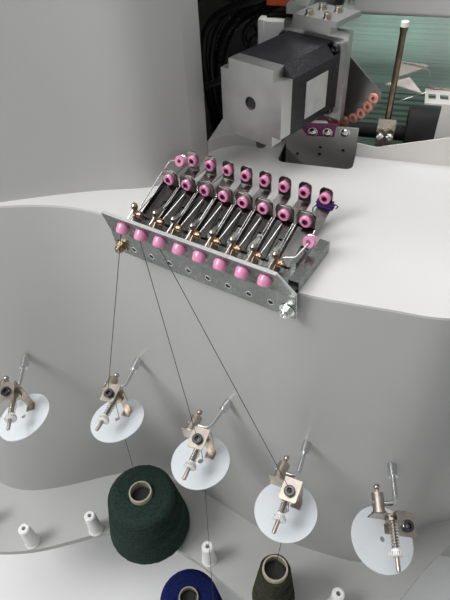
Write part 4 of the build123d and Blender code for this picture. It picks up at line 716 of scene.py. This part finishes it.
def make_leaf_trim():
    """Lips of the leaves in bright steel as painted highlights, heads of the leaves in a lighter
    steel as painted reflection, springs and posts of the levers, and the eyelets' bores darkened as
    painted shade.
    """
    lip_highlights, heads, springs, cones, bores = (Form() for _ in range(5))
    coils, steps = 6, 14
    coil = [(3.2, -18.5, 853.4), (3.2, -6, 862.4)]
    for k in range(coils * steps + 1):
        y, z = polar(3.3, math.tau * k / steps)
        coil.append((3.3 + 4.4 * k / (coils * steps), y, 860 + z))
    coil.append((8, 7, 854))
    for i in range(LANES):
        leaf = FEEDER @ shift(lane(i), 0, 0)
        # Painted highlights: bright steel wires along the leaf's lips and round its head, where the
        # polished edges catch the light
        lip_highlights.wire([(-10.4, 41.8, 857.4), (-10.4, 87.2, 874.6)], 0.7, 8, leaf)
        lip_highlights.wire([(-10.6, 87, 873.4), (-10.6, 88.9, 883.5), (-9.2, 88.9, 887.4),
                   (-5.8, 88.9, 890.2), (5.2, 88.9, 890.9), (8.8, 88.9, 888.2)], 0.85, 6, leaf)
        lip_highlights.wire([(10.2, 43, 855), (10.2, 87.4, 871.6)], 0.5, 6, leaf)
        # Painted reflection: the heads in a lighter copy of the leaves' steel
        heads.prism([(-9.8, 873.5), (9.8, 873.5), (9.8, 884), (6.5, 890), (-6.5, 890),
                     (-9.8, 884)], 87.2, 87.9, leaf @ XZ_PLANE)
        post = leaf @ shift(-7.5 if i else -12.4, 36, 0)
        springs.wire(coil, 0.6, 6, post)
        cones.lathe([(5.2, 852.1), (4.8, 853.5), (2.9, 863), (2.75, 867.5)], 24, post)
        cones.lathe([(3.5, 866.8), (3.9, 868.8), (3.5, 871.6), (1.8, 873.4), (AXIS, 873.7)],
                    24, post)
        cones.wire([(0, -2, 866.5), (-3.6, -19.5, 853.2)], 0.9, 6, post)
        # Painted shade: maroon tubes inside each eyelet's bore
        for y in (LEAF_EYELET, TAB_EYELET):
            bores.tube(2.2, 2.57, -5.3, 5.3, 24, leaf @ shift(0, y, EYELET_Z) @ TO_FRONT)
    piece("leaf_lip_highlights", lip_highlights, BRIGHT)
    piece("leaf_heads_reflection", heads, LEAF_HEAD_REFLECTION, bevel=0.2)
    piece("lever_springs", springs, COPPER)
    piece("post_cones", cones, NICKEL)
    piece("eyelet_bore_shade", bores, BORE_SHADE_PINK)


def make_plate_trim():
    """Light strips and rings on the feeder's front plate as painted highlights on its edges, its
    bolts, and the noses of its eyelets.
    """
    edges, noses = Form(), Form()
    # Painted highlights: a light strip along the plate's top edge and down its sides, and light
    # rings on the plate at each lane
    edges.slab((PLATE_LEFT, PLATE_RIGHT - PLATE_CORNER), (-3.4, 0.6),
               (PLATE_TOP - 0.3, PLATE_TOP + 0.8), FEEDER)
    edges.wire([(PLATE_RIGHT - PLATE_CORNER, -1.2, PLATE_TOP),
                (PLATE_RIGHT, 5.4, PLATE_TOP - PLATE_CORNER * 1.4 + 0.3)], 1.5, 8, FEEDER)
    for i in range(LANES):
        edges.lathe([(2.9, -0.2), (3.9, -0.2), (3.7, 0.45), (3, 0.45)], 24,
                    on_plate(lane(i) + 2.5, 833), closed=True)
        noses.lathe([(2.6, 6.2), (5.2, 6.4), (6.4, 5.3), (6.95, 2.4), (6.95, -2), (6.2, -4.4),
                     (3.2, -5.7), (AXIS, -5.9)], 36,
                    FEEDER @ shift(lane(i), 0.1, 867.3) @ turn("X", 140))
    piece("front_noses", noses, CERAMIC)
    for s, y, z in ((PLATE_LEFT - 0.2, -1.8, PLATE_TOP), (PLATE_RIGHT + 0.2, 6.6, 857)):
        edges.wire([(s, y, z), (s, 7.2, 852), (s, 10.4, PLATE_FOOT)], 0.7, 6, FEEDER)
    piece("plate_edge_highlights", edges, EDGE_HIGHLIGHT)

    for name, s, material in (("left_bolt", -13, BOLT_BRASS), ("right_bolt", 196, BRIGHT)):
        place = on_plate(s, 831)
        bolt = Form().tube(3.1, 8.4, 0.1, 1.3, 32, place)
        bolt.prism([polar(6.1, math.pi * k / 3) for k in range(6)], 1.3, 6.4, place)
        bolt.lathe([(4.2, 6.4), (4.2, 8.6), (3.6, 9.2), (1.9, 9.2), (1.9, 7.6), (AXIS, 7.6)], 24,
                   place)
        piece(name, bolt, material, bevel=0.3)


def make_lever_trim():
    """Eyelets at the ends of the outer levers and the thread wound round the last tab."""
    ring = [(2.45, -4.8), (5.7, -4.8), (6.6, -3.9), (6.6, -2.2), (5.9, -1.4), (4.5, -0.8),
            (4.5, 0.8), (5.9, 1.4), (6.6, 2.2), (6.6, 3.9), (5.7, 4.8), (2.45, 4.8)]
    for i, where in ((1, (lane(0), 113, 890.5)), (8, (lane(7) + 16.5, 62.2, 877))):
        form = Form().lathe(ring, 32, FEEDER @ shift(*where) @ turn("X", 70), closed=True)
        piece(f"end_eyelet_{i}", form, CERAMIC, body=f"lever_{i}")

    wrap = Form()
    tab = FEEDER @ shift(lane(LANES - 1), 0, 0)
    for k in range(7):
        z = 866.5 + k * 1.35
        wide = 9.2 + 1 * math.sin(2.1 * k)
        wrap.slab((-wide, wide), (134 - 0.8 * math.sin(k * 1.7), 139.6 + 0.7 * math.sin(k)),
                  (z, z + 1.3), tab)
    wrap.wire([(-9, 134, 869), (-11.5, 131, 866), (-10, 128, 861), (-6, 129, 858)], 0.7, 6, tab)
    wrap.wire([(9, 135, 872), (13, 134, 876), (15, 136, 873), (12, 138, 868)], 0.7, 6, tab)
    piece("thread_wrap", wrap, PURPLE_THREAD, bevel=0.4)


def make_threads():
    """Threads from the cones through the tensioners and the feeder's eyelets."""
    form = Form()
    radius = 0.42
    noses = ((-275, 335, SHELF_TOP + NOSE_HEIGHT), (-148, 275, 128),
             (-43, 281, SHELF_TOP + NOSE_HEIGHT))
    for n, nose in enumerate(noses):
        head = head_frame(TENSIONERS[n + 1])
        under, pinch, eye = (head @ Vector(p) for p in ((19.6, -30.5, -36), (17, -17.2, 5),
                                                        (22, -28.5, 25)))
        front, *rest = (FEEDER @ Vector((lane(n), y, z)) for y, z in (
            (-3.4, 864.6), (7.5, 868.4), (84, EYELET_Z), (94, EYELET_Z), (142, EYELET_Z)))
        form.wire([pinch, eye, front], radius, 5)
        form.wire([front, *rest], radius, 5)
        form.wire([nose, under, pinch], radius, 5)
    piece("thin_threads", form, THREAD, replaces=("yarns",), angle=60)


def make_motor_trim():
    """Bare label plate, a black disc of painted shade in the rear bore, and the cable gland of the
    selector motor.
    """
    label = Form().slab((43.05, 43.5), (44.5, 86.5), (-23, 19.5), SELECTOR)
    piece("motor_label", label, LABEL, bevel=0.15)
    # Painted shade: black disc at the bottom of the cap's bore
    bore = Form().disc(7.4, 0, -1, 32, SELECTOR @ shift(0, 2.5, 0) @ TO_FRONT)
    piece("cap_bore_shade", bore, SHADE_BLACK)
    gland = Form().lathe([(7.4, -43.2), (7.4, -46), (6.2, -46.6), (6.2, -52.5), (4, -53.5),
                          (AXIS, -53.5)], 24, SELECTOR @ shift(8, 9.5, 0))
    piece("motor_gland", gland, BLACK_PLASTIC, bevel=0.3)


def make_selector_trim():
    """Strip with a white painted highlight above it, a black sheet of painted shade behind the
    plate, dome screws of the selector plate, and the beads of the fan.
    """
    strip = Form().prism([(-112.3, 885.2), (-59.7, 888.4), (-61.6, 869.2), (-96, 867.2)],
                         654.3, 655.2, XZ_PLANE)
    piece("magenta_strip", strip, MAGENTA, bevel=0.25)
    # Painted highlight: a white sheet above the magenta strip, where light falls on its top
    strip_highlight = Form().prism([(-101, 889.4), (-74, 890.8), (-71, 887.2), (-100, 885.4)],
                         653.8, 654.6, XZ_PLANE)
    piece("strip_highlight_white", strip_highlight, WHITE_PLASTIC, bevel=0.2)
    # Painted shade: black sheet behind the selector plate, so its openings show shade instead of
    # what lies behind
    back_shade = Form().slab((-118, -42), (660.6, 661.4), (832, 858))
    piece("plate_back_shade", back_shade, SHADE_BLACK)
    domes = Form()
    profile = [(6.3, -0.1), (6.3, 0.9)]
    for k in range(10):
        r, rise = polar(1, math.pi / 2 * k / 10)
        profile.append((5.5 * r, 0.9 + 4.6 * rise))
    for x, front, z in ((-89.8, 654.6, 873.6), (-70.6, 654.6, 874.2), (-49, 657, 875.6)):
        domes.lathe(profile + [(AXIS, 5.5)], 32, shift(x, front, z) @ TO_FRONT)
    piece("dome_screws", domes, BRIGHT)

    beads = Form()
    for i in range(LANES):
        x, z = polar(FAN_RADIUS, math.radians(FAN_FIRST + FAN_STEP * i))
        beads.lathe([(2.6, -4.6), (4.9, -5), (6.3, -4.2), (6.75, -3), (6.3, -1.6), (5.3, -1),
                     (5.3, 1), (6.3, 1.6), (6.75, 3), (6.3, 4.2), (4.9, 5), (2.6, 4.6)],
                    32, SELECTOR @ shift(x, FAN_PLANE, z) @ TO_FRONT, closed=True)
    piece("fan_beads", beads, CERAMIC_PALE, body="fan", replaces=("fan_eyelets",))


def make_gripper():
    """Rod, tip, jaws, wires and screws of the thread gripper."""
    axis = shift(1, 673.6, 0)
    rod = Form().lathe([(3.75, 880), (3.75, 995.9), (4.55, 995.9), (4.55, 1000)], 24, axis)
    piece("gripper_rod", rod, ROD_DARK)
    tip = Form().lathe([(4.6, 1000), (4.65, 1005.1), (3.6, 1005.9), (AXIS, 1005.9)], 24, axis)
    piece("gripper_tip", tip, WHITE_PLASTIC)
    jaws, bright = Form(), Form()
    thick = Vector((0, 0, 1.4))
    for corners in (((-4, 723, 944), (39, 731, 938), (3, 689, 938)),
                    ((-9, 681, 932), (18, 697, 936), (35, 672, 928), (13, 680, 930))):
        n = len(corners)
        points = [Vector(p) for p in corners]
        faces = [tuple(range(n)), tuple(range(n, 2 * n))[::-1]]
        faces += [(k, (k + 1) % n, n + (k + 1) % n, n + k) for k in range(n)]
        jaws.add(points + [p - thick for p in points], faces)
    piece("gripper_jaws", jaws, JAW, angle=20)
    for route, radius in ((((-4, 723, 944.6), (39, 731, 938.6)), 0.9),
                          (((-42, 682, 888), (40, 684, 924)), 0.4),
                          (((1, 677, 941), (3, 689, 938.6)), 1.1)):
        bright.wire(route, radius)
    for x in (-5, 7):
        bright.lathe([(5, -0.2), (5, 3.2), (4.2, 4.4), (2.2, 4.6), (2.2, 2.6), (AXIS, 2.6)], 28,
                     shift(x, 664.2, 872) @ TO_FRONT)
    piece("gripper_wires", bright, BRIGHT)


def make_motor_screws():
    """Socket bolts of the motor's stack and screws on its mount."""
    bolts, screws = Form(), Form()
    for x in (-36.5, 36.5):
        for z in (-36.5, 36.5):
            bolts.lathe([(5, -5.8), (5, 0.3), (4.4, 0.9), (2.7, 0.9), (2.7, -2.5),
                         (AXIS, -2.5)], 24, SELECTOR @ shift(x, 104, z) @ TO_FRONT)
    piece("stack_bolts", bolts, DARK_RING)
    for x, y in ((-1, 107), (23.5, 107), (-1, 133.5), (20.5, 133.5)):
        screws.lathe([(5.8, 0), (5.8, 0.8), (4.5, 0.9), (4.5, 5), (3.9, 5.8), (2.5, 5.8),
                      (2.5, 3), (AXIS, 3)], 28, SELECTOR @ shift(x, y, 66))
    piece("mount_screws", screws, NICKEL)


def smoothed(route, rounds=3):
    """Route with its corners cut off, again and again."""
    route = [Vector(p) for p in route]
    for _ in range(rounds):
        cut = [route[0]]
        for a, b in zip(route, route[1:]):
            cut += [a * 0.75 + b * 0.25, a * 0.25 + b * 0.75]
        route = cut + [route[-1]]
    return route


# Cables in the left housing: radius and route; the first one runs in a ribbed sleeve
HOUSING_CABLES = [
    (8, [(-146, 790, 1040), (-158, 796, 1004), (-170, 800, 986), (-219, 800, 974),
           (-249, 800, 944), (-265, 800, 893), (-262, 796, 835), (-255, 780, 760)]),
    (4.2, [(-136, 772, 975), (-160, 780, 976.5), (-186, 780, 975.5), (-213, 780, 958),
           (-217, 780, 938), (-198, 778, 926), (-160, 770, 922)]),
    (5.5, [(-170, 758, 1030), (-178, 760, 1000), (-216, 760, 993), (-262, 762, 970),
           (-276, 764, 930), (-272, 770, 860), (-262, 776, 780)]),
    (4.6, [(-150, 784, 1046), (-186, 786, 1006), (-228, 788, 984), (-262, 788, 950),
           (-272, 786, 900), (-264, 780, 850), (-250, 770, 800)]),
    (3, [(-140, 764, 962), (-176, 770, 962), (-204, 772, 946), (-206, 772, 930),
           (-190, 768, 914)])]


def make_interior():
    """Cables, a terminal box and an orange tag in the left housing."""
    cables = Form()
    for n, (radius, route) in enumerate(HOUSING_CABLES):
        route = smoothed(route)
        cables.wire(route, radius, 12)
        if n == 0:
            for a, b in zip(route, route[1:]):
                middle, half_rib = (a + b) / 2, (b - a).normalized() * 1.2
                cables.wire([middle - half_rib, middle + half_rib], radius + 1.3, 14)
    piece("housing_cables", cables, CABLE)
    box = Form().slab((-166, -134), (692, 706), (966, 993))
    box.slab((-136, -129), (691, 704), (968, 990))
    piece("terminal_box", box, WHITE_PLASTIC, bevel=1)
    edge = Form().slab((-173, -165.5), (690, 707), (962, 995))
    piece("terminal_edge", edge, WHITE_PLASTIC, bevel=0.8)
    tag = Form().slab((-178, -146), (756, 764), (992.5, 1008))
    piece("orange_tag", tag, ORANGE, bevel=1)


def make_panel_trim():
    """Screen and keys on the control panel, collar of the stop button."""
    low, high = node_box("control_panel")
    left, right, y, top = low.x, high.x, low.y, high.z
    screen = Form().slab((left + 18, right - 18), (y - 0.8, y + 0.6), (top - 118, top - 20))
    piece("panel_screen", screen, SCREEN, bevel=0.5)
    keys = Form()
    for row in range(2):
        for column in range(6):
            x, z = left + 24 + column * 31, top - 144 - row * 24
            keys.slab((x, x + 22), (y - 1.8, y + 0.6), (z - 14, z))
    piece("panel_keys", keys, KEY_GREY, bevel=1.2)
    low, high = node_box("emergency_stop")
    middle = (low + high) / 2
    collar = Form().lathe([(20.5, 4.5), (29, 4.5), (30, 5.5), (30, 7), (28.5, 8),
                           (20.5, 8)], 48, shift(middle.x, high.y, middle.z) @ TO_FRONT,
                          closed=True)
    piece("stop_collar", collar, YELLOW)


def make_covers_trim():
    """Doors, vents, hinges and handles of the two housings, and the right one's closed corners."""
    doors, fittings, locks, strips = (Form() for _ in range(4))
    left_low, left_high = node_box("left_outer_cover")
    right_low, right_high = node_box("right_housing")
    foot, middle_rail, top = 110, (660, 680), 1340
    hinges, rear_locks, vents = (150, 620, 720, 1300), (385, 1010), range(190, 351, 16)
    sunk, proud, half_handle = 0.5, 2.2, 60
    y = left_high.y
    for x0, x1 in ((left_low.x + 25, left_high.x - 40), (right_low.x + 25, right_high.x - 25)):
        for heights in ((foot, middle_rail[0]), (middle_rail[1], top)):
            doors.slab((x0, x1), (y - sunk, y + proud), heights)
        for z in hinges:
            fittings.slab((x0 + 6, x0 + 22), (y + 2, y + 9), (z - 28, z + 28))
        for z in rear_locks:
            locks.lathe([(0.1, 2), (14, 2), (15, 3), (15, 6), (13.5, 7.5), (0.1, 7.5)], 32,
                        shift(x1 - 26, y, z) @ turn("X", -90))
            fittings.slab((x1 - 28, x1 - 24), (y + 7.4, y + 8.6), (z - 9, z + 9))
        for z in vents:
            fittings.slab((x0 + 70, x1 - 60), (y + 1.9, y + 2.6), (z, z + 6))
            doors.prism([(y + 2, z + 6), (y + 7, z + 1.5), (y + 7, z - 0.5),
                         (y + 2, z + 4)], x0 + 70, x1 - 60, YZ_PLANE)
    for face, out, spans in (
            (right_high.x, 1, ((right_low.y + 30, 1015), (1035, right_high.y - 25))),
            (left_low.x, -1, ((470, 990), (1010, 1515)))):
        for y0, y1 in spans:
            middle = (y0 + y1) / 2
            doors.slab(sorted((face - out * sunk, face + out * proud)), (y0, y1), (foot, top))
            for z in (foot + 50, top - 50):
                for y in (y0 + 16, y1 - 16):
                    locks.lathe([(0.1, 2), (7, 2), (7, 4), (6, 5.2), (0.1, 5.2)], 20,
                                shift(face, y, z) @ turn("Y", 90 * out))
            fittings.slab(sorted((face + out * 2, face + out * 8)),
                          (middle - half_handle, middle + half_handle), (1000, 1016))

    steps = 16
    angles = [math.pi / 2 * k / steps for k in range(steps + 1)]
    for y, out in ((right_low.y + HOUSING_CORNER, -1), (right_high.y - HOUSING_CORNER, 1)):
        arc = [polar(HOUSING_CORNER - 0.15, a) for a in angles]
        arc += [polar(HOUSING_CORNER - 1.8, a) for a in angles[::-1]]
        strips.prism([(right_high.x - HOUSING_CORNER + dx, y + out * dy) for dx, dy in arc],
                     right_low.z, right_high.z - 2)
    piece("corner_strips", strips, HOUSING)
    piece("service_doors", doors, HOUSING, bevel=0.8)
    piece("door_fittings", fittings, BLACK_PLASTIC, bevel=0.8)
    piece("door_locks", locks, BRIGHT)


# Camera, floor, surroundings and lamps

def make_camera():
    data = bpy.data.cameras.new("photo view")
    data.sensor_width = SENSOR_MM
    data.lens = LENS_MM
    data.clip_start = 0.02
    camera = new_object("photo view", data)
    axes = Matrix((CAMERA_RIGHT, -CAMERA_DOWN, -CAMERA_AHEAD)).transposed()
    camera.matrix_world = Matrix.Translation((CAMERA_AT + DATUM) * MM) @ axes.to_4x4()
    bpy.context.scene.camera = camera


def make_floor():
    """Pale floor that also glows a little where the camera sees it."""
    bpy.ops.mesh.primitive_plane_add(size=14, location=(0, 0, 0))
    floor = bpy.context.object
    floor.name = "floor"
    material = coated("floor", (0.66, 0.66, 0.65), rough=0.7, mottle=0.02)
    floor.data.materials.append(material)
    nodes = material.node_tree.nodes
    seen = nodes.new("ShaderNodeLightPath").outputs["Is Camera Ray"]
    glow = new_node(nodes, "Math", {0: seen, 1: FLOOR_GLOW})
    glow.operation = "MULTIPLY"
    set_inputs(nodes["Principled BSDF"], {"Emission Color": (0.9, 0.9, 0.9, 1),
                                          "Emission Strength": glow.outputs["Value"]})


def make_surroundings():
    """Soft light from all round behind a paler backdrop for the camera."""
    world = bpy.data.worlds.new("room")
    bpy.context.scene.world = world
    world.use_nodes = True
    nodes = world.node_tree.nodes
    light = nodes["Background"]
    set_inputs(light, {"Color": (0.8, 0.82, 0.84, 1), "Strength": ROOM_LIGHT})
    backdrop = new_node(nodes, "Background", {"Color": (0.86, 0.86, 0.86, 1)})
    seen = nodes.new("ShaderNodeLightPath").outputs["Is Camera Ray"]
    mix = new_node(nodes, "MixShader", {
        "Fac": seen, 1: light.outputs["Background"], 2: backdrop.outputs["Background"]})
    set_inputs(nodes["World Output"], {"Surface": mix.outputs["Shader"]})


def make_lamps():
    for name, place, aim, size, power, spread in LAMPS:
        data = bpy.data.lights.new(name, "AREA")
        data.energy = power
        data.size = size
        data.spread = math.radians(spread)
        lamp = new_object(name, data)
        lamp.location = place
        lamp.rotation_euler = (Vector(aim) - Vector(place)).to_track_quat("-Z", "Y").to_euler()


make_camera()
make_floor()
make_surroundings()
make_lamps()
dress_nodes()
for cone in CONES:
    make_cone(*cone)
make_core_bore_shade()
make_cloth()
make_warp()
make_rolls()
make_heads()
make_leaf_trim()
make_plate_trim()
make_lever_trim()
make_threads()
make_motor_trim()
make_selector_trim()
make_gripper()
make_motor_screws()
make_interior()
make_panel_trim()
make_covers_trim()

bpy.context.scene.view_settings.view_transform = "Standard"
